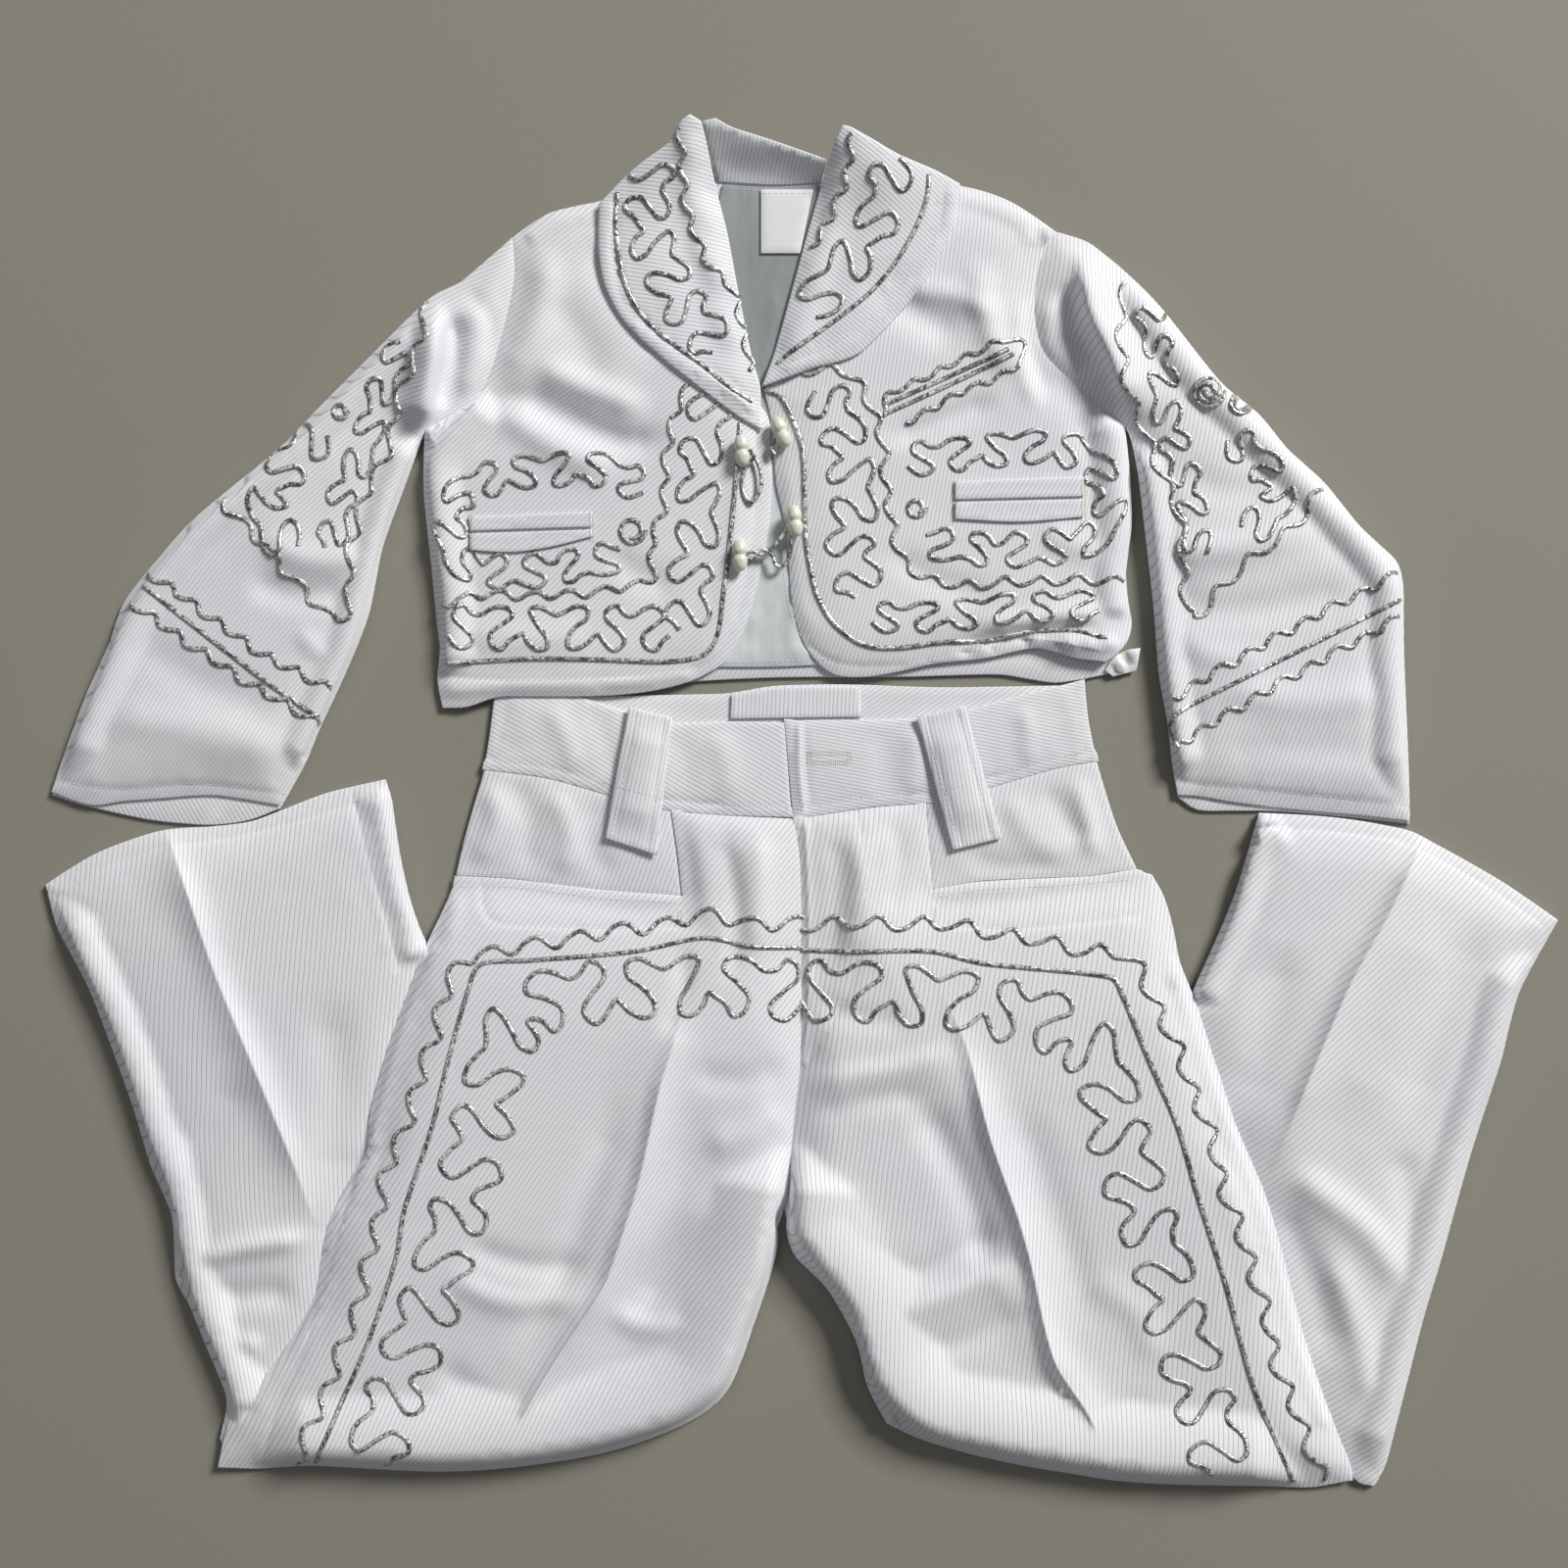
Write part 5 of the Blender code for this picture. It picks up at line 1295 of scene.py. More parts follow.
@dataclass
class Embroidery:
    """Silver cord couched on one piece.

    Attributes:
        name: Name of the piece that it makes.
        carriers: Cloths that carry it.
        stands_for: CAD nodes that it stands for.
        runs: Its runs of cord.
        wide: Width of the cord in metres.
    """

    name: str
    carriers: tuple[str, ...]
    stands_for: tuple[str, ...]
    runs: list[CordRun]
    wide: float = 0.0023

    def build(self, cloths: dict[str, bpy.types.Object], form: CordForm) -> bpy.types.Object:
        """Lay the cord on its carriers.

        Args:
            cloths: Finished cloths by CAD node.
            form: The cord's tree.

        Returns:
            The finished piece.
        """
        cover = Covering([cloths[name] for name in self.carriers])
        laid = [part for run in self.runs for part in cover.laid(run.trace(), 0.34)]
        piece = form.make(self.name, laid, CORD, Wide=self.wide, High=self.wide * 0.54)
        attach(piece, "root")
        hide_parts(*self.stands_for)
        logging.info("%s: %d faces", piece.name, len(piece.data.polygons))
        return piece


@dataclass
class Sewing:
    """Rows of stitches on one garment.

    Attributes:
        name: Name of the piece that it makes.
        carriers: Cloths that carry it.
        rows: Paths of the stitching on the sheet.
        finish: Finish of the thread.
        pitch: Distance from stitch to stitch in metres.
        long: Length of a stitch in metres.
        thick: Thickness of the thread in metres.
    """

    name: str
    carriers: tuple[str, ...]
    rows: list[Path]
    finish: Finish = WHITE_THREAD
    pitch: float = 0.0027
    long: float = 0.0021
    thick: float = 0.00036

    def build(self, cloths: dict[str, bpy.types.Object], form: StitchForm) -> bpy.types.Object:
        """Sew the rows through their carriers.

        Args:
            cloths: Finished cloths by CAD node.
            form: The stitches' tree.

        Returns:
            The finished piece.
        """
        cover = Covering([cloths[name] for name in self.carriers])
        laid = [part for row in self.rows for part in cover.laid(smooth_path(row, 2.5), 0.06, 2)]
        piece = form.make(self.name, laid, self.finish, Pitch=self.pitch, Long=self.long,
                          Thick=self.thick)
        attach(piece, "root")
        logging.info("%s: %d faces", piece.name, len(piece.data.polygons))
        return piece


# ------------------------------------------------------------------------- folds of the cloths


# Ridges and troughs, by the cloth that they lie in.
CREASES: dict[str, list[Crease]] = {
    "jacket_lining": [
        Crease("806,576 790,612 752,650", 1.1, 2.6),
        Crease("768,596 782,640 778,690", -0.9, 3.0),
        Crease("818,596 808,640 818,684", 1.2, 2.8),
        Crease("744,664 790,668 842,664", 0.8, 2.4),
        Crease("796,600 800,630 794,660", -0.8, 2.4),
        Crease("790,290 786,340 781,390", 0.8, 3.0),
        Crease("760,262 772,310 776,360", -0.6, 4.0),
    ],
    "hem_lining_left": [
        Crease("1132,668 1144,680 1150,692", 1.6, 1.5),
        Crease("1142,660 1150,674 1156,690", -1.4, 1.5),
        Crease("1150,656 1158,672 1162,688", 1.5, 1.4),
        Crease("1130,678 1140,686 1144,694", -1.0, 1.4),
    ],
    "jacket_front_right": [
        Crease("516,392 570,424 640,452 690,440", -1.6, 7.0),
        Crease("540,368 600,396 664,420", 1.4, 7.0),
        Crease("500,408 560,452 630,486", 1.2, 8.0),
        Crease("560,250 548,320 512,395", 1.3, 8.0),
        Crease("452,440 490,420 540,402", -1.3, 6.0),
        Crease("600,236 640,300 690,368", -1.2, 10.0),
        Crease("560,300 600,360 606,400", -0.7, 9.0),
        Crease("446,520 458,590 452,650", 1.0, 6.0),
        Crease("452,640 520,652 610,648", 0.6, 8.0),
        Crease("458,704 520,700 620,698 700,690", 0.9, 3.5, lasts=True),
        Crease("620,560 652,588 690,600", -0.7, 7.0),
        Crease("758,420 752,520 742,600 726,655", 0.5, 5.0),
    ],
    "jacket_front_left": [
        Crease("1000,262 1004,320 1036,388", 1.2, 7.0),
        Crease("902,452 960,430 1020,405", -1.0, 6.0),
        Crease("886,268 930,316 985,345", -1.3, 9.0),
        Crease("920,300 972,300 1026,326", 0.9, 6.0),
        Crease("1066,296 1056,350 1070,414", -1.2, 5.0),
        Crease("1046,300 1040,356 1060,420", 0.9, 5.0),
        Crease("1100,420 1122,470 1130,540", -0.8, 7.0),
        Crease("1060,540 1110,560 1146,556", 0.8, 7.0),
        Crease("900,560 960,596 1020,612", -0.7, 7.0),
        Crease("990,640 1060,632 1136,622", 1.2, 5.0),
        Crease("960,662 1020,652 1080,640 1136,640", -0.9, 3.5),
        Crease("800,440 806,540 816,620 852,664", 0.5, 5.0),
        Crease("930,684 1010,670 1080,656 1150,662", 1.2, 4.0, lasts=True),
        *ripples("980,676 1060,664 1140,664", 10, -16, 1.3, 2.6),
    ],
    "collar_right": [
        Crease("619,210 618,262 630,312 668,349 720,384 768,418", 1.3, 2.2, lasts=True),
        Crease("629,208 627,258 639,302 669,338 716,371 760,404", -0.8, 1.3, lasts=True),
        Crease("700,160 706,220 722,280", 0.6, 5.0),
    ],
    "collar_left": [
        Crease("970,196 966,232 948,264 920,302 872,350 806,378", 1.3, 2.2, lasts=True),
        Crease("957,196 953,228 934,256 906,291 860,337 806,362", -0.8, 1.3, lasts=True),
        Crease("866,160 852,210 838,262", 0.6, 5.0),
    ],
    "sleeve_upper_right": [
        Crease("446,306 442,360 437,402 426,446", 7.0, 4.0, right_width=12.0),
        Crease("464,318 463,365 450,420", -5.0, 4.5),
        Crease("486,300 488,350 470,410", 1.2, 6.0),
        Crease("474,292 500,330 500,372", -0.9, 4.0),
        Crease("262,548 318,572 380,566", 1.5, 7.0),
        Crease("250,590 300,608 362,604", -1.4, 7.0),
        Crease("300,640 330,668 356,672", 0.9, 5.0),
        Crease("96,730 180,742 300,768", 1.2, 10.0),
        Crease("130,650 210,700 290,730", -1.0, 10.0),
        Crease("210,540 280,500 350,430", 0.8, 10.0),
    ],
    "sleeve_upper_left": [
        Crease("1102,252 1113,317 1131,355 1158,432", 5.6, 12.0, right_width=4.0),
        Crease("1086,286 1094,340 1118,384", -3.2, 5.0),
        Crease("1066,300 1068,350 1092,384", 1.0, 4.0),
        Crease("1175,560 1250,560 1335,540", 1.4, 8.0),
        Crease("1180,612 1260,624 1400,600", -1.2, 9.0),
        Crease("1196,640 1230,668 1300,676", 0.9, 7.0),
        Crease("1236,700 1320,716 1424,712", 1.2, 9.0),
        Crease("1230,770 1300,764 1420,770", -0.7, 9.0),
        Crease("1196,470 1240,500 1300,500", -0.8, 8.0),
    ],
    "waistband_front_right": [
        Crease("556,714 576,750 590,792", 0.9, 6.0),
        Crease("604,718 620,760 624,798", -0.8, 5.0),
        Crease("690,745 700,785 694,822", -0.8, 6.0),
        Crease("724,742 742,780 740,820", 0.8, 7.0),
        Crease("520,716 516,750 524,776", -0.6, 5.0),
    ],
    "waistband_front_left": [
        Crease("900,742 905,780 898,815", -0.9, 6.0),
        Crease("930,740 934,776 926,812", 0.7, 5.0),
        Crease("1040,716 1050,750 1048,786", 0.9, 5.0),
        Crease("1080,712 1082,745 1092,772", -0.6, 5.0),
        Crease("815,742 816,790 820,826", 0.8, 1.6, keen=True, lasts=True),
    ],
    "hip_yoke_right": [
        Crease("496,796 506,840 482,884", 1.3, 6.0),
        Crease("520,792 540,836 536,894", -1.2, 7.0),
        Crease("560,800 580,850 574,900", 1.1, 6.0),
        Crease("610,812 604,860 624,900", -0.8, 6.0),
    ],
    "hip_yoke_left": [
        Crease("1096,790 1108,830 1118,880", 1.2, 5.0),
        Crease("1064,800 1090,840 1110,862", -1.1, 6.0),
        Crease("1022,806 1050,850 1086,880", 1.0, 7.0),
        Crease("980,870 1020,884 1090,884", -0.8, 6.0),
    ],
    "thigh_right": [
        Crease("700,1000 690,1056 673,1112 652,1206 630,1276 612,1322 560,1400 528,1456 522,1494 "
            "512,1570", 3.2, 9.0, keen=True, right_width=5.0),
        Crease("716,1110 690,1220 655,1330 600,1420", -1.2, 11.0),
        Crease("640,1110 604,1215 570,1310 520,1390", -1.6, 9.0),
        Crease("800,1196 750,1246 690,1290 640,1352", -2.2, 9.0),
        Crease("796,1262 752,1312 724,1390", 1.8, 9.0),
        Crease("806,1130 762,1160 716,1170", 1.4, 8.0),
        Crease("806,1086 760,1102 700,1096", -1.0, 7.0),
        Crease("450,1300 520,1330 600,1324", 1.4, 6.0),
        Crease("470,1268 534,1290 604,1290", -1.3, 6.0),
        Crease("612,1336 670,1356 740,1346", 1.2, 6.0),
        Crease("440,1390 490,1430 506,1490", -1.4, 7.0),
        Crease("560,1440 620,1440 690,1420", -0.9, 7.0),
        Crease("697,960 697,1010 680,1066", -1.1, 5.0),
        Crease("736,836 744,880 752,940 744,1010", -1.4, 5.0),
        Crease("770,840 776,900 770,980", 1.2, 6.0),
        Crease("706,834 716,880 724,950", 1.0, 5.0),
        Crease("470,905 452,960 428,1030", 0.9, 4.0),
    ],
    "thigh_left": [
        Crease("960,1010 988,1074 1010,1161 1040,1247 1054,1299 1076,1390 1112,1447 1132,1504 "
            "1156,1580", 3.4, 10.0, keen=True, right_width=5.0),
        Crease("930,1110 984,1210 1018,1310", -2.2, 9.0),
        Crease("1030,1110 1080,1250 1120,1360", -1.4, 10.0),
        Crease("896,1352 966,1322 1044,1290", 1.6, 4.5, right_width=10.0),
        Crease("880,1322 950,1296 1020,1250", -1.7, 7.0),
        Crease("920,1386 990,1366 1050,1330", -1.3, 7.0),
        Crease("820,1108 868,1096 912,1090 978,1070", 1.2, 4.0, right_width=9.0),
        Crease("826,1140 880,1124 950,1112", -1.2, 7.0),
        Crease("818,1190 862,1240 896,1300", 1.6, 9.0),
        Crease("830,1020 880,1040 930,1040", -0.9, 6.0),
        Crease("1064,1396 1100,1440 1104,1500", -1.6, 6.0),
        Crease("1150,1420 1170,1470 1160,1508", -1.0, 6.0),
        Crease("1100,1300 1160,1340 1180,1400", 1.0, 8.0),
        Crease("1240,1170 1270,1260 1296,1350", 0.9, 6.0),
        Crease("848,838 856,900 846,1000", -1.2, 6.0),
        Crease("872,832 880,900 872,985", 1.1, 5.0),
        Crease("910,830 918,880 906,940", -0.9, 5.0),
        Crease("822,842 825,940 824,1030 820,1086", 0.9, 1.7, keen=True, lasts=True),
    ],
    "lower_leg_back_right": [
        Crease("156,812 174,860 216,985 262,1097 300,1190 326,1262", 2.8, 8.0, keen=True,
            right_width=10.0),
        Crease("150,900 200,1060 262,1200", 0.5, 18.0),
        Crease("330,1010 346,1120 336,1230", -1.4, 12.0),
        Crease("156,1196 210,1150 250,1100", -1.0, 9.0),
        Crease("172,1294 240,1276 322,1262", 2.2, 5.0),
        Crease("190,1338 250,1322 306,1318", -1.8, 7.0),
        Crease("214,1392 240,1372 270,1376", 1.6, 5.0),
        Crease("232,1440 252,1410 275,1396", -1.0, 4.0),
        Crease("372,830 384,900 408,990", 0.8, 4.0),
    ],
    "lower_leg_back_left": [
        Crease("1470,820 1449,866 1416,936 1378,1005 1326,1126 1300,1190", 3.0, 10.0, keen=True,
            right_width=7.0),
        Crease("1470,930 1420,1040 1370,1150", 1.2, 18.0),
        Crease("1310,960 1290,1060 1262,1140", -1.4, 12.0),
        Crease("1516,930 1470,1050 1430,1150", -1.2, 11.0),
        Crease("1306,1190 1350,1220 1400,1262 1440,1330", 2.0, 8.0),
        Crease("1300,1216 1336,1300 1362,1400", -1.8, 9.0),
        Crease("1352,1270 1385,1360 1400,1450", 1.6, 7.0),
        Crease("1430,1170 1440,1230 1460,1270", -1.2, 8.0),
        *ripples("1526,1086 1496,1185 1466,1290 1446,1360", 13, 26, 0.8, 2.4),
    ],
}

# Folded edges, by cloth.
SHOULDERS: dict[str, list[Shoulder]] = {
    "jacket_front_right": [
        Shoulder("497,388 462,424 433,469 435,523 441,570 448,626 449,674 450,700", 10.5, 5.0,
            34.0),
        Shoulder("690,196 669,190 612,206 561,218 523,243", 6.0, 6.0, 24.0),
    ],
    "jacket_front_left": [
        Shoulder("1118,408 1147,434 1152,480 1154,536 1148,590 1154,640", 9.5, 5.0, 32.0),
        Shoulder("903,183 956,187 1004,197 1054,221 1063,262", 6.0, 6.0, 24.0),
    ],
    "sleeve_upper_right": [
        Shoulder("444,301 394,349 347,396 307,437 258,481 212,518 178,551 144,592 119,635 100,683 "
            "73,750 54,808", 12.0, 4.5, 34.0),
        Shoulder("434,437 418,480 398,535 382,593 364,657 352,687 326,743 298,799", 10.5, 4.5,
            30.0),
    ],
    "sleeve_upper_left": [
        Shoulder("1128,262 1167,296 1201,336 1233,377 1266,409 1298,441 1332,475 1369,515 1407,557 "
            "1431,596 1432,662 1435,738 1438,830", 12.0, 4.5, 34.0),
        Shoulder("1154,447 1166,513 1175,588 1181,657 1188,713 1195,761 1202,806", 10.5, 4.5, 30.0),
    ],
    "thigh_right": [
        Shoulder("810,1150 800,1225 786,1299 768,1353 742,1418 700,1452 648,1472 588,1487 522,1497 "
            "447,1501 376,1498 300,1496 240,1500", 19.0, 8.0, 75.0),
        Shoulder("228,1472 257,1420 292,1375 322,1322 357,1207 377,1141 395,1073 418,1009 "
            "456,921", 10.0, 5.0, 28.0),
    ],
    "thigh_left": [
        Shoulder("808,1150 803,1255 827,1296 861,1342 886,1415 937,1466 1014,1488 1072,1499 "
            "1164,1512 1225,1514 1294,1516 1345,1519", 19.0, 8.0, 75.0),
        Shoulder("1376,1492 1333,1377 1298,1246 1251,1122 1211,1003 1196,945", 10.0, 5.0, 28.0),
    ],
    "lower_leg_back_right": [
        Shoulder("47,903 73,973 104,1040 127,1102 146,1162 167,1216 179,1275 193,1330 211,1374 "
            "232,1430 233,1483", 12.0, 4.5, 34.0),
        Shoulder("393,796 402,839 412,895 427,947 430,990", 10.0, 4.5, 28.0),
    ],
    "lower_leg_back_left": [
        Shoulder("1574,964 1549,1014 1532,1079 1511,1144 1489,1215 1470,1285 1452,1345 1438,1397 "
            "1422,1462 1402,1516", 12.0, 4.5, 34.0),
        Shoulder("1314,832 1274,869 1254,930 1232,981 1212,1026", 10.0, 4.5, 28.0),
    ],
}

# Stitched seams, by cloth.
SEAMS: dict[str, list[Path]] = {
    "jacket_front_right": [
        "449,690 520,694 620,691 700,684 734,668 752,630 764,580 773,500 772,440",
    ],
    "jacket_front_left": [
        "786,450 796,540 803,610 818,650 856,676 920,678 1000,663 1056,652 1122,664",
    ],
    "collar_right": [
        "622,212 621,260 634,305 664,341 712,376 760,412",
    ],
    "collar_left": [
        "963,196 959,230 940,260 912,296 866,342 806,370",
    ],
    "sleeve_upper_right": [
        "56,797 120,805 200,800 290,810",
    ],
    "sleeve_upper_left": [
        "1203,798 1290,806 1380,816 1437,822",
    ],
    "waistband_tab": [
        "811,698 812,744",
    ],
    "waistband_front_right": [
        "500,775 560,783 620,800 684,816 744,821 804,823",
    ],
    "waistband_front_left": [
        "821,824 896,812 955,808 1010,793 1075,774 1114,766",
        "822,744 824,790 828,822",
    ],
    "thigh_right": [
        "492,897 494,930 508,942 600,947 690,946",
        "323,1335 306,1388 284,1435 266,1492",
        "436,985 404,1075 384,1150 352,1235 330,1325",
    ],
    "thigh_left": [
        "963,945 1040,947 1136,938 1160,934",
        "876,828 884,884 880,950 868,1010 840,1060 822,1088",
    ],
    "lower_leg_back_right": [
        "58,915 108,884 170,862 218,857 290,841 390,809",
        "358,806 377,883 407,991",
    ],
    "lower_leg_back_left": [
        "1288,843 1385,850 1440,861 1520,905 1574,942",
    ],
}


def cloth(node: str, *finish: object, **sizes: object) -> ClothPanel:
    """Panel of a node, with its rows of the three tables."""
    return ClothPanel(node, *finish, creases=CREASES.get(node, []),
                      shoulders=SHOULDERS.get(node, []), seams=SEAMS.get(node, []), **sizes)


# ---------------------------------------------------------------------------------- the jacket


@dataclass
class Jacket:
    """Short jacket: back, fronts, sleeves, shawl collar, lining, welts and label."""

    grid: float = 6.0
    hidden_grid: float = 20.0

    def body(self) -> list[ClothPanel]:
        """Back, linings, fronts and the pockets' welts."""
        g = self.grid
        return [
            cloth("jacket_back", rib=60, grid=self.hidden_grid, unrest=0.05),
            cloth("jacket_lining", SATIN, Slot.SATIN, thick=1.0, grid=8, unrest=0.25,
                       rests_on=("jacket_back",)),
            cloth("hem_lining_left", PALE_HEM, Slot.SATIN, thick=1.0, grid=5, unrest=0.3,
                       rests_on=("jacket_back",)),
            cloth("care_label", TAPE, Slot.TAPE, thick=0.8, grid=8, unrest=0.12,
                       rests_on=("jacket_lining",)),
            cloth("jacket_front_right", rib=42, pitch=2.08, bow=4, grid=g, depth=2.2, puff=2.0,
                       rests_on=("jacket_back",)),
            cloth("jacket_front_left", rib=79, pitch=2.0, bow=-3, grid=g, depth=2.2, puff=2.0,
                       rests_on=("jacket_back",)),
            *[ClothPanel(f"welt_{side}_{level}", rib=rib, pitch=2.1, grid=5, unrest=0.05,
              doubled=True, rests_on=(f"jacket_front_{side}",)) for side, level, rib in (("right",
              "upper", 48), ("right", "lower", 40), ("left", "upper", 60), ("left", "lower", 72))],
        ]

    def collar(self) -> list[ClothPanel]:
        """Stand and the two halves of the shawl collar."""
        g = self.grid
        return [
            cloth("collar_stand", rib=92, pitch=2.0, grid=g, soften=4),
            cloth("collar_right", rib=172, pitch=2.0, bow=6, thick=2.0, grid=5, soften=5,
                       rests_on=("jacket_front_right",)),
            cloth("collar_left", rib=140, pitch=2.0, bow=-6, thick=2.0, grid=5, soften=5,
                       rests_on=("jacket_front_left",)),
        ]

    def sleeves(self) -> list[ClothPanel]:
        """Upper and under cloths of both sleeves."""
        g = self.grid
        return [
            cloth("sleeve_under_right", rib=120, grid=self.hidden_grid, unrest=0.05),
            cloth("sleeve_under_left", rib=60, grid=self.hidden_grid, unrest=0.05),
            cloth("sleeve_upper_right", rib=44, pitch=2.0, bow=11, grid=g, puff=3.6,
                       rests_on=("sleeve_under_right",)),
            cloth("sleeve_upper_left", rib=76, pitch=2.2, bow=-4, grid=g, puff=3.6,
                       rests_on=("sleeve_under_left",)),
        ]

    def build(self) -> dict[str, bpy.types.Object]:
        """Make every cloth of the jacket, by CAD node."""
        return {panel.node: panel.build()
                for panel in self.body() + self.collar() + self.sleeves()}


# -------------------------------------------------------------------------------- the trousers


@dataclass
class Trousers:
    """Trousers folded at the knee: waistband, yokes, thighs, loops and turned-out lower legs."""

    grid: float = 6.5
    hidden_grid: float = 22.0

    def waist(self) -> list[ClothPanel]:
        """Waistband inside and out, its tab and the belt loops."""
        return [
            cloth("waistband_back", rib=35, pitch=2.1, grid=10, unrest=0.1),
            cloth("waistband_tab", rib=88, pitch=2.1, grid=5, unrest=0.1,
                       rests_on=("waistband_back",)),
            cloth("waistband_front_right", rib=150, pitch=2.15, grid=6,
                       joins=("hip_yoke_right", "thigh_right"), rests_on=("waistband_back",)),
            cloth("waistband_front_left", rib=170, pitch=1.75, grid=6, joins=("hip_yoke_left",
                       "thigh_left", "waistband_front_right"), rests_on=("waistband_back",)),
            *[ClothPanel(f"belt_loop_{side}", rib=rib, pitch=2.1, thick=1.6, grid=5, unrest=0.25,
              rests_on=(f"waistband_front_{side}",), seams=seams, creases=[Crease(middle, 1.5,
              14.0)]) for side, rib, middle, seams in (("right", 78, "666,734 652,792 642,850",
              ["649,724 627,852", "678,733 661,864"]), ("left", 100, "962,734 976,792 996,850",
              ["944,731 981,862", "976,724 1012,854"]))],
        ]

    def hips(self) -> list[ClothPanel]:
        """Seat and hip yokes."""
        return [
            cloth("seat_back", rib=60, grid=self.hidden_grid, unrest=0.05),
            cloth("hip_yoke_right", rib=70, pitch=2.3, grid=6),
            cloth("hip_yoke_left", rib=77, pitch=2.2, grid=6),
        ]

    def thighs(self) -> list[ClothPanel]:
        """Fronts of the thighs, with their pressed creases."""
        g = self.grid
        return [
            cloth("thigh_right", rib=55, pitch=2.3, bow=4, grid=g, puff=6.0,
                       joins=("hip_yoke_right",), held=["460,900 520,905 694,925 694,826 814,830 "
                       "818,980"], rests_on=("folded_leg_right", "seat_back")),
            cloth("thigh_left", rib=82, pitch=2.45, bow=3, grid=g, puff=6.0,
                       joins=("hip_yoke_left", "thigh_right"), held=["822,980 820,830 954,822 "
                       "956,918 1180,896"], rests_on=("folded_leg_left", "seat_back")),
        ]

    def lower_legs(self) -> list[ClothPanel]:
        """Lower legs that lie turned out from under the thighs."""
        g = self.grid
        return [
            cloth("lower_leg_front_right", rib=90, grid=self.hidden_grid, unrest=0.05),
            cloth("lower_leg_front_left", rib=60, grid=self.hidden_grid, unrest=0.05),
            cloth("lower_leg_back_right", rib=90, pitch=2.45, bow=6, grid=g, puff=4.0,
                       rests_on=("lower_leg_front_right",)),
            cloth("lower_leg_back_left", rib=40, pitch=2.6, bow=-3, grid=g, puff=4.0,
                       rests_on=("lower_leg_front_left",)),
        ]

    def build(self) -> dict[str, bpy.types.Object]:
        """Make every cloth of the trousers, by CAD node."""
        made = {node: FoldedLayers(node).build() for node in ("folded_leg_right",
                                                              "folded_leg_left")}
        for panel in self.waist() + self.hips() + self.thighs() + self.lower_legs():
            made[panel.node] = panel.build()
        return made


# -------------------------------------------------------------------------- cords, frogs, sewing


def ring_path(x: float, y: float, radius: float, turns: float = 1.0) -> Path:
    """Round or spiral path about a point of the sheet."""
    count = int(14 * turns)
    return [(x + radius * (1 - 0.32 * i / 14) * math.cos(2 * math.pi * i / 14),
             y + radius * (1 - 0.32 * i / 14) * math.sin(2 * math.pi * i / 14))
            for i in range(count + 1)]


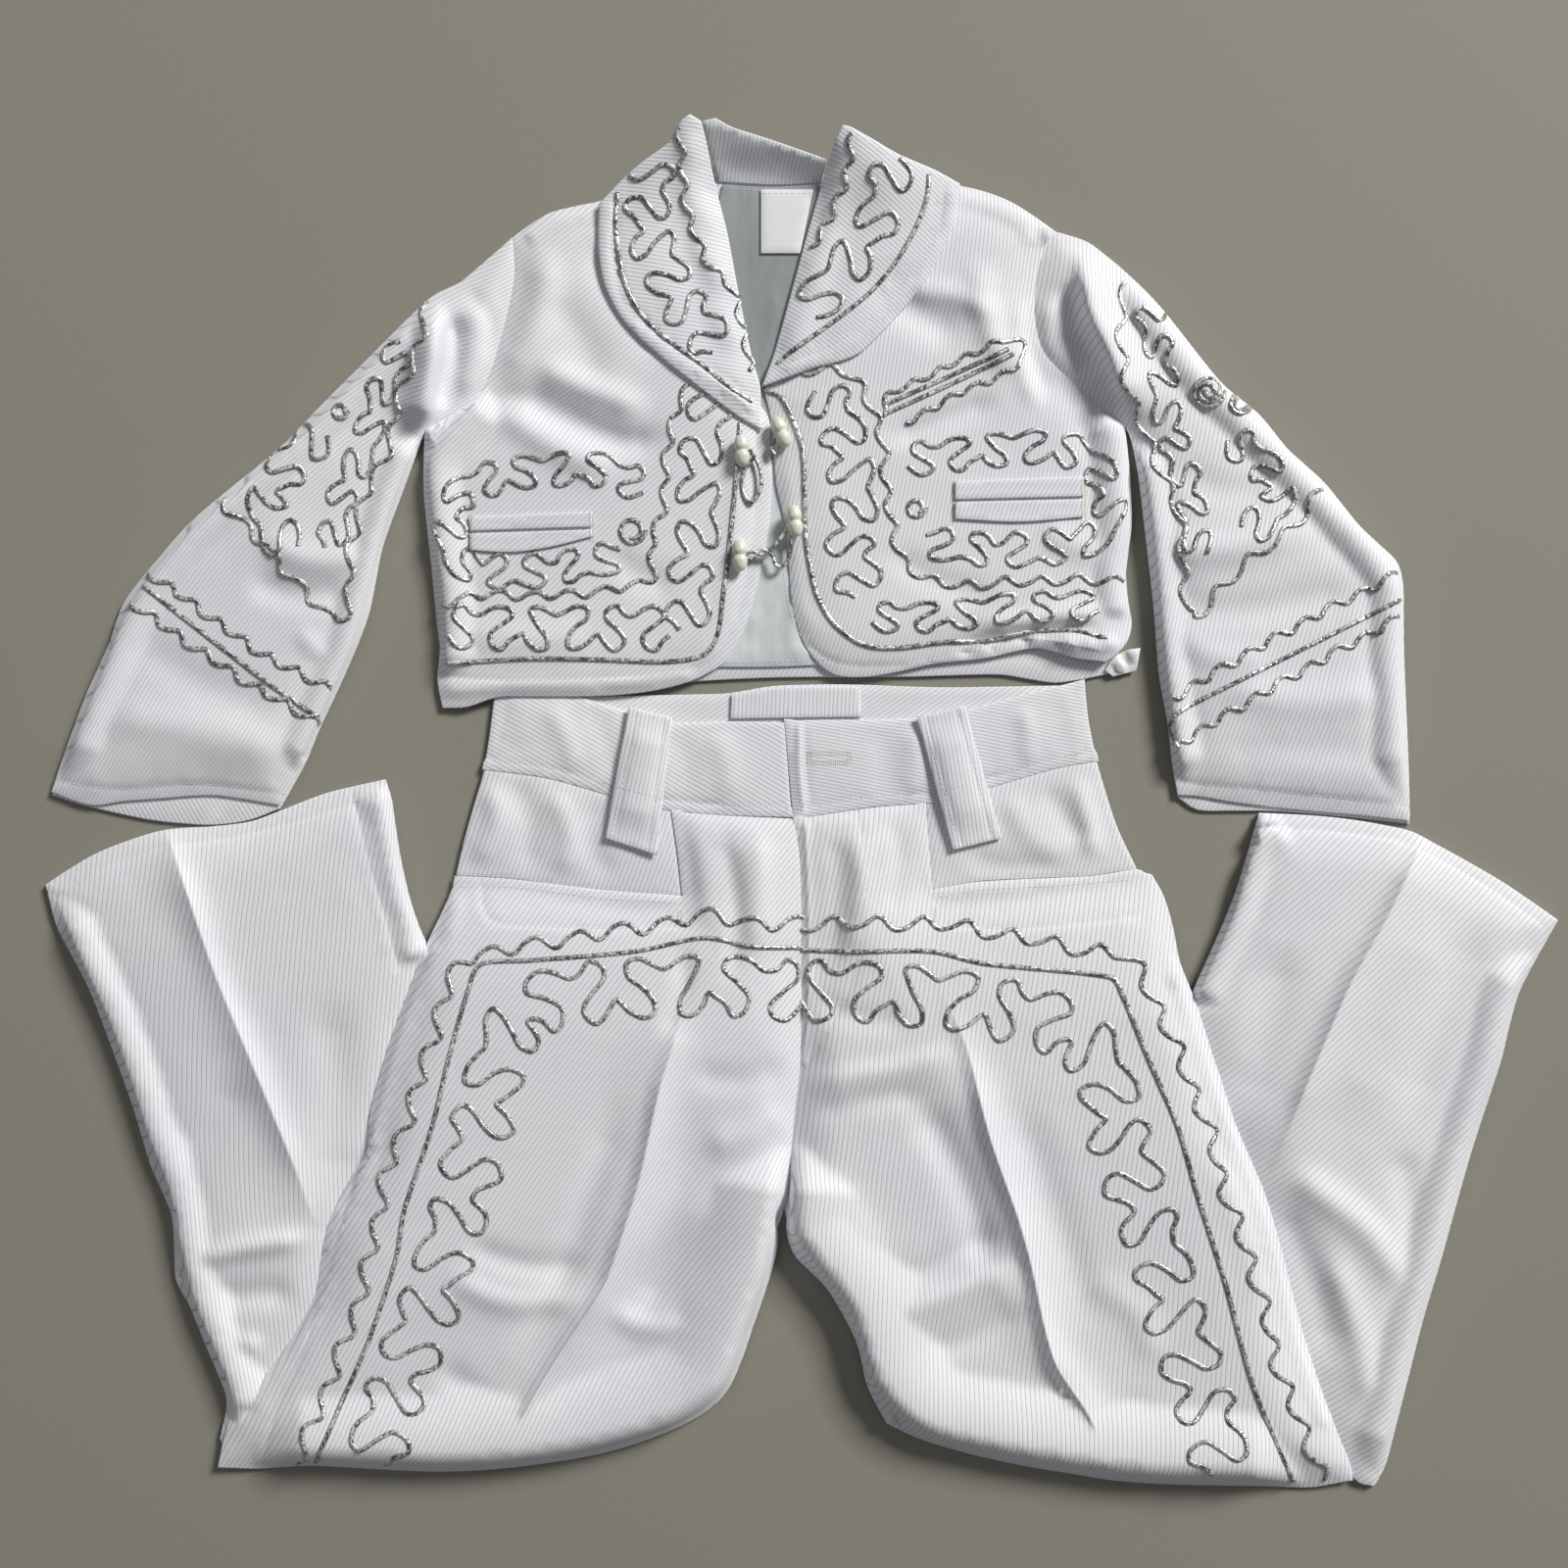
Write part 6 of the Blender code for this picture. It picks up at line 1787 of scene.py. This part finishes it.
@dataclass
class Couching:
    """All the silver cord of the suit."""

    def plain(self, path: Path) -> CordRun:
        """A plain run."""
        return CordRun(Line.PLAIN, path)

    def wavy(self, path: Path, half: float = 5.0, unit: float = 42.0) -> CordRun:
        """A wavy run."""
        return CordRun(Line.WAVY, path, half, unit)

    def winding(self, path: Path, half: float = 24.0, unit: float = 80.0,
                flip: bool = False) -> CordRun:
        """A meander."""
        return CordRun(Line.MEANDER, path, half, unit, flip)

    def fronts(self) -> list[Embroidery]:
        """Cord on the jacket's fronts."""
        right = [
            self.plain("755,431 751,490 744,560 738,608 732,648 718,668 681,675 617,673 540,672 "
                "455,677"),
            self.wavy("704,392 688,424 680,470 676,520 665,555 664,590 630,600 560,607 500,606 "
                "450,615", half=4.0, unit=36),
            self.winding("726,402 716,460 712,540 704,590 702,650", half=22, unit=76),
            self.winding("658,498 618,480 570,478 514,486 474,500 459,536 472,572 520,583 580,577 "
                "640,566", half=17, unit=76, flip=True),
            self.winding("456,640 540,640 620,641 690,640", half=22, unit=78),
            self.plain(ring_path(645, 541, 14, 1.3)),
        ]
        left = [
            self.plain("782,399 797,405 808,426 819,458 821,508 822,545 827,579 835,609 852,637 "
                "880,657 914,661 964,655 1007,654 1049,645 1091,643 1130,651"),
            self.wavy("818,378 858,378 884,402 900,450 905,500 914,550 938,587 990,596 1060,592 "
                "1146,592", half=4.5, unit=38),
            self.winding("838,396 860,440 872,500 868,560 884,612", half=24, unit=82),
            self.winding("926,470 985,462 1050,456 1104,464 1130,496 1126,540 1080,557 1010,560 "
                "940,552", half=17, unit=76),
            self.winding("890,630 960,628 1040,620 1128,617", half=15, unit=76),
            self.plain("906,421 970,392 1034,361"),
            self.plain("903,413 966,385 1029,356"),
            self.wavy("901,424 905,405 960,377 1020,348 1040,349 1046,362 1030,378 970,405 "
                "925,432", half=2.6, unit=30),
            self.plain(ring_path(935, 518, 10, 1.2)),
        ]
        return [
            Embroidery("cord_on_front_right", ("jacket_front_right",), ("cord_front_right",),
                right),
            Embroidery("cord_on_front_left", ("jacket_front_left",), ("cord_front_left",), left),
        ]

    def collar(self) -> list[Embroidery]:
        """Cord on the collar."""
        right = [
            self.plain("630,196 628,229 636,282 650,314 671,338 714,370 746,396 768,410"),
            self.wavy("694,130 697,180 706,230 724,268 746,294 757,330 765,378", half=3.6, unit=34),
            self.winding("666,160 662,226 680,280 704,320 738,358", half=23, unit=80),
        ]
        left = [
            self.plain("948,178 946,200 936,229 915,266 888,298 848,330 813,354 794,370"),
            self.wavy("870,136 864,178 850,216 828,252", half=3.6, unit=32),
            self.winding("912,160 904,206 880,248 852,286 822,324", half=22, unit=78, flip=True),
        ]
        return [
            Embroidery("cord_on_collar_right", ("collar_right",), ("cord_collar_right",), right),
            Embroidery("cord_on_collar_left", ("collar_left",), ("cord_collar_left",), left),
        ]

    def sleeves(self) -> list[Embroidery]:
        """Cord on the sleeves: a pointed field above and a band at the cuff."""
        right = [
            self.wavy("438,308 424,360 404,416 394,464 370,510 358,560 356,610 346,632 326,620 "
                "292,580 262,548 236,520 230,508", half=5.0, unit=44),
            self.winding("412,350 388,400 374,450 350,504 336,566", half=15, unit=70),
            self.winding("330,440 296,474 272,516 300,566", half=21, unit=74, flip=True),
            self.plain(ring_path(347, 419, 8, 1.4)),
            self.plain("146,597 190,632 236,668 281,702 325,732"),
            self.wavy("152,584 200,618 270,668 338,702", half=4.0, unit=32),
            self.wavy("134,614 190,654 260,700 326,738", half=4.0, unit=32),
        ]
        left = [
            self.wavy("1150,288 1142,340 1152,396 1172,452 1196,505 1208,560 1208,606 1219,632 "
                "1240,606 1276,572 1320,536 1350,500", half=5.0, unit=44),
            self.winding("1172,306 1184,366 1194,430 1212,492 1226,570", half=15, unit=68,
                flip=True),
            self.winding("1256,446 1294,480 1304,512 1268,546", half=18, unit=70),
            self.plain(ring_path(1233, 399, 17, 2.6)),
            self.plain(ring_path(1266, 411, 12, 2.0)),
            self.plain("1429,612 1350,652 1270,692 1206,725 1194,741 1202,762"),
            self.wavy("1426,586 1350,624 1270,668 1197,712", half=4.0, unit=32),
            self.wavy("1428,630 1350,672 1280,712 1206,756", half=4.0, unit=32),
        ]
        return [
            Embroidery("cord_on_sleeve_right", ("sleeve_upper_right",), ("cord_sleeve_right",),
                right),
            Embroidery("cord_on_sleeve_left", ("sleeve_upper_left",), ("cord_sleeve_left",), left),
        ]

    def thighs(self) -> list[Embroidery]:
        """Cord round the fronts of the thighs."""
        right = [
            self.plain("824,967 769,966 719,957 647,971 540,980 491,984 478,1010 458,1080 441,1150 "
                "413,1234 404,1285 376,1369 354,1419 322,1492"),
            self.wavy("824,942 770,941 722,934 660,945 580,957 510,970 474,978 458,1006 438,1070 "
                "416,1140 394,1200 380,1270 362,1340 336,1410 302,1494", half=6.4, unit=46),
            self.winding("821,1014 730,1004 650,1010 570,1018 532,1036 510,1084 492,1150 474,1220 "
                "452,1290 428,1360 402,1430 378,1498", half=31, unit=96, flip=True),
        ]
        left = [
            self.plain("814,969 872,971 951,971 1004,983 1133,997 1146,1016 1172,1080 1202,1150 "
                "1222,1219 1251,1311 1277,1408 1303,1474 1320,1512"),
            self.wavy("816,943 880,942 965,944 1040,956 1100,968 1146,974 1168,1000 1200,1070 "
                "1232,1150 1252,1220 1280,1300 1306,1400 1330,1460 1352,1510", half=6.4, unit=46),
            self.winding("817,1012 900,1012 980,1022 1046,1036 1096,1052 1124,1090 1140,1150 "
                "1160,1214 1184,1284 1206,1362 1228,1430 1252,1508", half=31, unit=96),
        ]
        return [
            Embroidery("cord_on_thigh_right", ("thigh_right",), ("cord_thigh_right",), right),
            Embroidery("cord_on_thigh_left", ("thigh_left",), ("cord_thigh_left",), left),
        ]

    def build(self, cloths: dict[str, bpy.types.Object]) -> None:
        """Lay all the cord on its cloths."""
        form = CordForm()
        for work in self.fronts() + self.collar() + self.sleeves() + self.thighs():
            work.build(cloths, form)
        FrogLoops().build(form)


@dataclass
class FrogLoops:
    """Silver cord loops that tie the toggles of the two fronts.

    Attributes:
        wide: Thickness of the cord in metres.
        loops: Rows of x, y and height on the sheet for each loop.
    """

    wide: float = 0.0021
    loops: tuple = (
        [(757, 462, 8.4), (764, 461, 9.3), (771, 468, 9.0), (776, 482, 8.6), (776, 499, 8.4),
         (768, 512, 8.3), (760, 506, 8.3), (757, 490, 8.4), (762, 476, 8.8), (769, 466, 10.2),
         (766, 458, 10.0)],
        [(757, 566, 8.2), (768, 563, 8.8), (778, 566, 8.6), (787, 560, 8.8), (796, 550, 8.8),
         (804, 540, 9.0), (811, 534, 9.2)],
        [(757, 569, 8.0), (768, 570, 8.0), (778, 561, 9.4), (788, 567, 8.0), (792, 577, 7.8),
         (800, 577, 7.8), (806, 566, 8.2), (808, 548, 8.6), (810, 534, 8.6)],
        [(797, 446, 9.6), (790, 450, 8.8), (787, 458, 8.4), (791, 464, 8.4)],
    )

    def build(self, form: CordForm) -> bpy.types.Object:
        """Make the loops as one piece."""
        runs = [smooth_path(loop, 1.5) for loop in self.loops]
        piece = form.make("frog_loops_cord", runs, CORD, Wide=self.wide, High=self.wide,
                          Step=0.0006)
        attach(piece, "root")
        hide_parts("frog_loop_upper", "frog_loop_lower")
        logging.info("%s: %d faces", piece.name, len(piece.data.polygons))
        return piece


@dataclass
class Toggle:
    """Resin toggle: a turned barrel with a waist for its cord.

    Attributes:
        node: CAD node that it stands for.
        turn: Direction of its length in degrees, anticlockwise from the sheet's right.
        length: Length in metres.
        radius: Radius in metres.
        sides: Sides of its rings.
    """

    node: str
    turn: float
    length: float = 0.0165
    radius: float = 0.0039
    sides: int = 28

    def build(self, cover: Covering) -> bpy.types.Object:
        """Turn the barrel.

        Args:
            cover: The cloths that it lies on.

        Returns:
            The finished piece.
        """
        low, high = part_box(self.node)
        middle = np.array((low + high) / 2)
        x, y, _ = SHEET.rows(middle[None, :])[0]
        middle[2] = max(middle[2], ((cover.height(x, y) or 0.0) + 0.2) * MM + self.radius)
        angle = math.radians(self.turn)
        way = np.array([math.cos(angle), math.sin(angle), 0.0])
        side = np.array([-way[1], way[0], 0.0])
        rings, count = [], 30
        for index in range(1, count):
            share = index / count * 2 - 1
            dome = math.sqrt(max(0.0, 1 - abs(share) ** 3.2))
            waist = 1 - 0.24 * math.exp(-(share / 0.15) ** 2)
            rings.append((share, dome * waist * self.radius))
        places = [middle - way * self.length / 2]
        for share, radius in rings:
            for step in range(self.sides):
                around = 2 * math.pi * step / self.sides
                places.append(middle + way * share * self.length / 2 + radius * (
                    side * math.cos(around) + np.array([0, 0, 1]) * math.sin(around)))
        places.append(middle + way * self.length / 2)
        faces, last = [], len(places) - 1
        for step in range(self.sides):
            after = (step + 1) % self.sides
            faces.append([0, 1 + after, 1 + step])
            faces.append([last, last - self.sides + step, last - self.sides + after])
            for ring in range(len(rings) - 1):
                a, b = 1 + ring * self.sides, 1 + (ring + 1) * self.sides
                faces.append([a + step, a + after, b + after, b + step])
        mesh = bpy.data.meshes.new(self.node + "_resin")
        mesh.from_pydata([tuple(place) for place in places], [], faces)
        mesh.shade_smooth()
        mesh.materials.append(RESIN.material())
        piece = bpy.data.objects.new(self.node + "_resin", mesh)
        bpy.context.collection.objects.link(piece)
        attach(piece, "root")
        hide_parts(self.node)
        logging.info("%s: %d faces", piece.name, len(faces))
        return piece


def tack(x: float, y: float, high: float, wide: float) -> list[Path]:
    """Rows of a bar tack: close stitches that lie side by side, top to bottom."""
    count = max(2, int(high / 1.6))
    return [[(x - wide / 2, y + high * (i / (count - 1) - 0.5)),
             (x + wide / 2, y + high * (i / (count - 1) - 0.5))] for i in range(count)]


@dataclass
class Stitching:
    """All the visible sewing."""

    def works(self) -> list[Sewing]:
        """Rows of stitches, by what carries them."""
        return [
            Sewing("sewing_on_jacket", ("jacket_front_right", "jacket_front_left", "collar_right",
                "collar_left", "jacket_lining", "care_label"), [*SEAMS["jacket_front_right"],
                *SEAMS["jacket_front_left"], *SEAMS["collar_right"], *SEAMS["collar_left"],
                "742,676 790,675 846,673", "780,197 827,197", "740,192 775,195"]),
            Sewing("sewing_on_sleeves", ("sleeve_upper_right", "sleeve_upper_left"),
                [*SEAMS["sleeve_upper_right"], *SEAMS["sleeve_upper_left"]]),
            Sewing("sewing_on_waist", ("waistband_front_right", "waistband_front_left",
                "belt_loop_right", "belt_loop_left"), [*SEAMS["waistband_front_right"], "815,825 "
                "896,812 955,808 1010,793 1075,774 1114,766", "812,744 814,790 818,826", "648,724 "
                "625,852", "679,733 663,866", "942,731 979,862", "978,724 1014,854"]),
            Sewing("sewing_on_legs", ("thigh_right", "thigh_left", "lower_leg_back_right",
                "lower_leg_back_left", "hip_yoke_right", "hip_yoke_left"), [SEAMS["thigh_right"][0],
                SEAMS["thigh_left"][0], SEAMS["thigh_left"][1], SEAMS["lower_leg_back_right"][0],
                *SEAMS["lower_leg_back_left"], "472,905 520,905 619,917 690,921", "955,916 "
                "1000,908 1075,904 1150,898"]),
            Sewing("bar_tacks", ("jacket_front_right", "jacket_front_left", "welt_right_upper",
                "welt_right_lower", "welt_left_upper", "welt_left_lower", "thigh_right",
                "thigh_left"), tack(480, 543, 34, 3) + tack(604, 537, 30, 3) + tack(974, 510, 38, 3)
                + tack(1106, 508, 36, 3) + tack(694, 936, 12, 3) + tack(954, 934, 12, 3),
                CREAM_THREAD, 0.0012, 0.0013, 0.0004),
            Sewing("buttonhole_sewing", ("waistband_front_left",), [row for i in range(20) for row
                in ([(828 + i * 1.9, 767), (828 + i * 1.9, 770)], [(828 + i * 1.9, 776.5), (828 + i
                * 1.9, 779.5)])] + tack(826, 773, 12, 3) + tack(867, 773, 12, 3), CREAM_THREAD,
                0.0014, 0.0015, 0.0004),
        ]

    def build(self, cloths: dict[str, bpy.types.Object]) -> None:
        """Sew everything."""
        form = StitchForm()
        for work in self.works():
            work.build(cloths, form)


# ----------------------------------------------------------------------------------- the studio


@dataclass
class Studio:
    """Plain pale floor, soft light from the upper right and the camera above.

    Attributes:
        key_power: Power of the large soft lamp in watts.
        fill_power: Power of the second lamp in watts.
        sky: Colour and strength of the surrounding light.
    """

    key_power: float = 480.0
    fill_power: float = 8.0
    sky: tuple[float, float, float, float] = (0.95, 0.97, 1.0, 0.14)

    def lamp(self, name: str, place: tuple[float, float, float], size: float, power: float,
             colour: tuple[float, float, float]) -> None:
        """Hang one square lamp that faces the suit."""
        light = bpy.data.lights.new(name, "AREA")
        light.shape, light.size, light.energy, light.color = "SQUARE", size, power, colour
        made = bpy.data.objects.new(name, light)
        made.location = place
        made.rotation_euler = (-Vector(place)).to_track_quat("-Z", "Y").to_euler()
        bpy.context.collection.objects.link(made)

    def build(self) -> None:
        """Set the floor, the lights and the camera."""
        mesh = bpy.data.meshes.new("floor")
        reach, level = 3.0, -0.0004
        mesh.from_pydata([(-reach, -reach, level), (reach, -reach, level), (reach, reach, level),
                          (-reach, reach, level)], [], [[0, 1, 2, 3]])
        mesh.materials.append(FLOOR.material())
        floor = bpy.data.objects.new("floor", mesh)
        bpy.context.collection.objects.link(floor)
        world = bpy.data.worlds.new("studio")
        world.use_nodes = True
        back = world.node_tree.nodes["Background"]
        back.inputs["Color"].default_value = (*self.sky[:3], 1.0)
        back.inputs["Strength"].default_value = self.sky[3]
        bpy.context.scene.world = world
        self.lamp("key_lamp", (3.85, 3.92, 3.60), 1.8, self.key_power, (1.0, 0.99, 0.975))
        self.lamp("fill_lamp", (-2.4, 0.6, 2.6), 1.4, self.fill_power, (0.95, 0.97, 1.0))
        bpy.context.scene.view_settings.view_transform = "Standard"
        camera = bpy.data.cameras.new("camera")
        camera.sensor_width = 36.0
        camera.lens = 36.0 / 2 / (400.0 / SHEET.eye)
        camera.clip_start, camera.clip_end = 0.05, 20.0
        holder = bpy.data.objects.new("camera", camera)
        holder.location = (SHEET.shift_x * MM, SHEET.shift_y * MM, SHEET.eye * MM)
        bpy.context.collection.objects.link(holder)
        bpy.context.scene.camera = holder


def main() -> None:
    """Build the suit's looks in order."""
    logging.basicConfig(level=logging.INFO, format="%(message)s")
    Studio().build()
    cloths = Jacket().build()
    cloths.update(Trousers().build())
    fronts = Covering([cloths["jacket_front_right"], cloths["jacket_front_left"],
                       cloths["collar_right"], cloths["collar_left"]])
    for node, turn in (("toggle_right_upper", 94), ("toggle_right_lower", 92),
                       ("toggle_left_upper", 112), ("toggle_left_lower", 96)):
        Toggle(node, turn).build(fronts)
    Couching().build(cloths)
    Stitching().build(cloths)


if __name__ == "__main__":
    main()
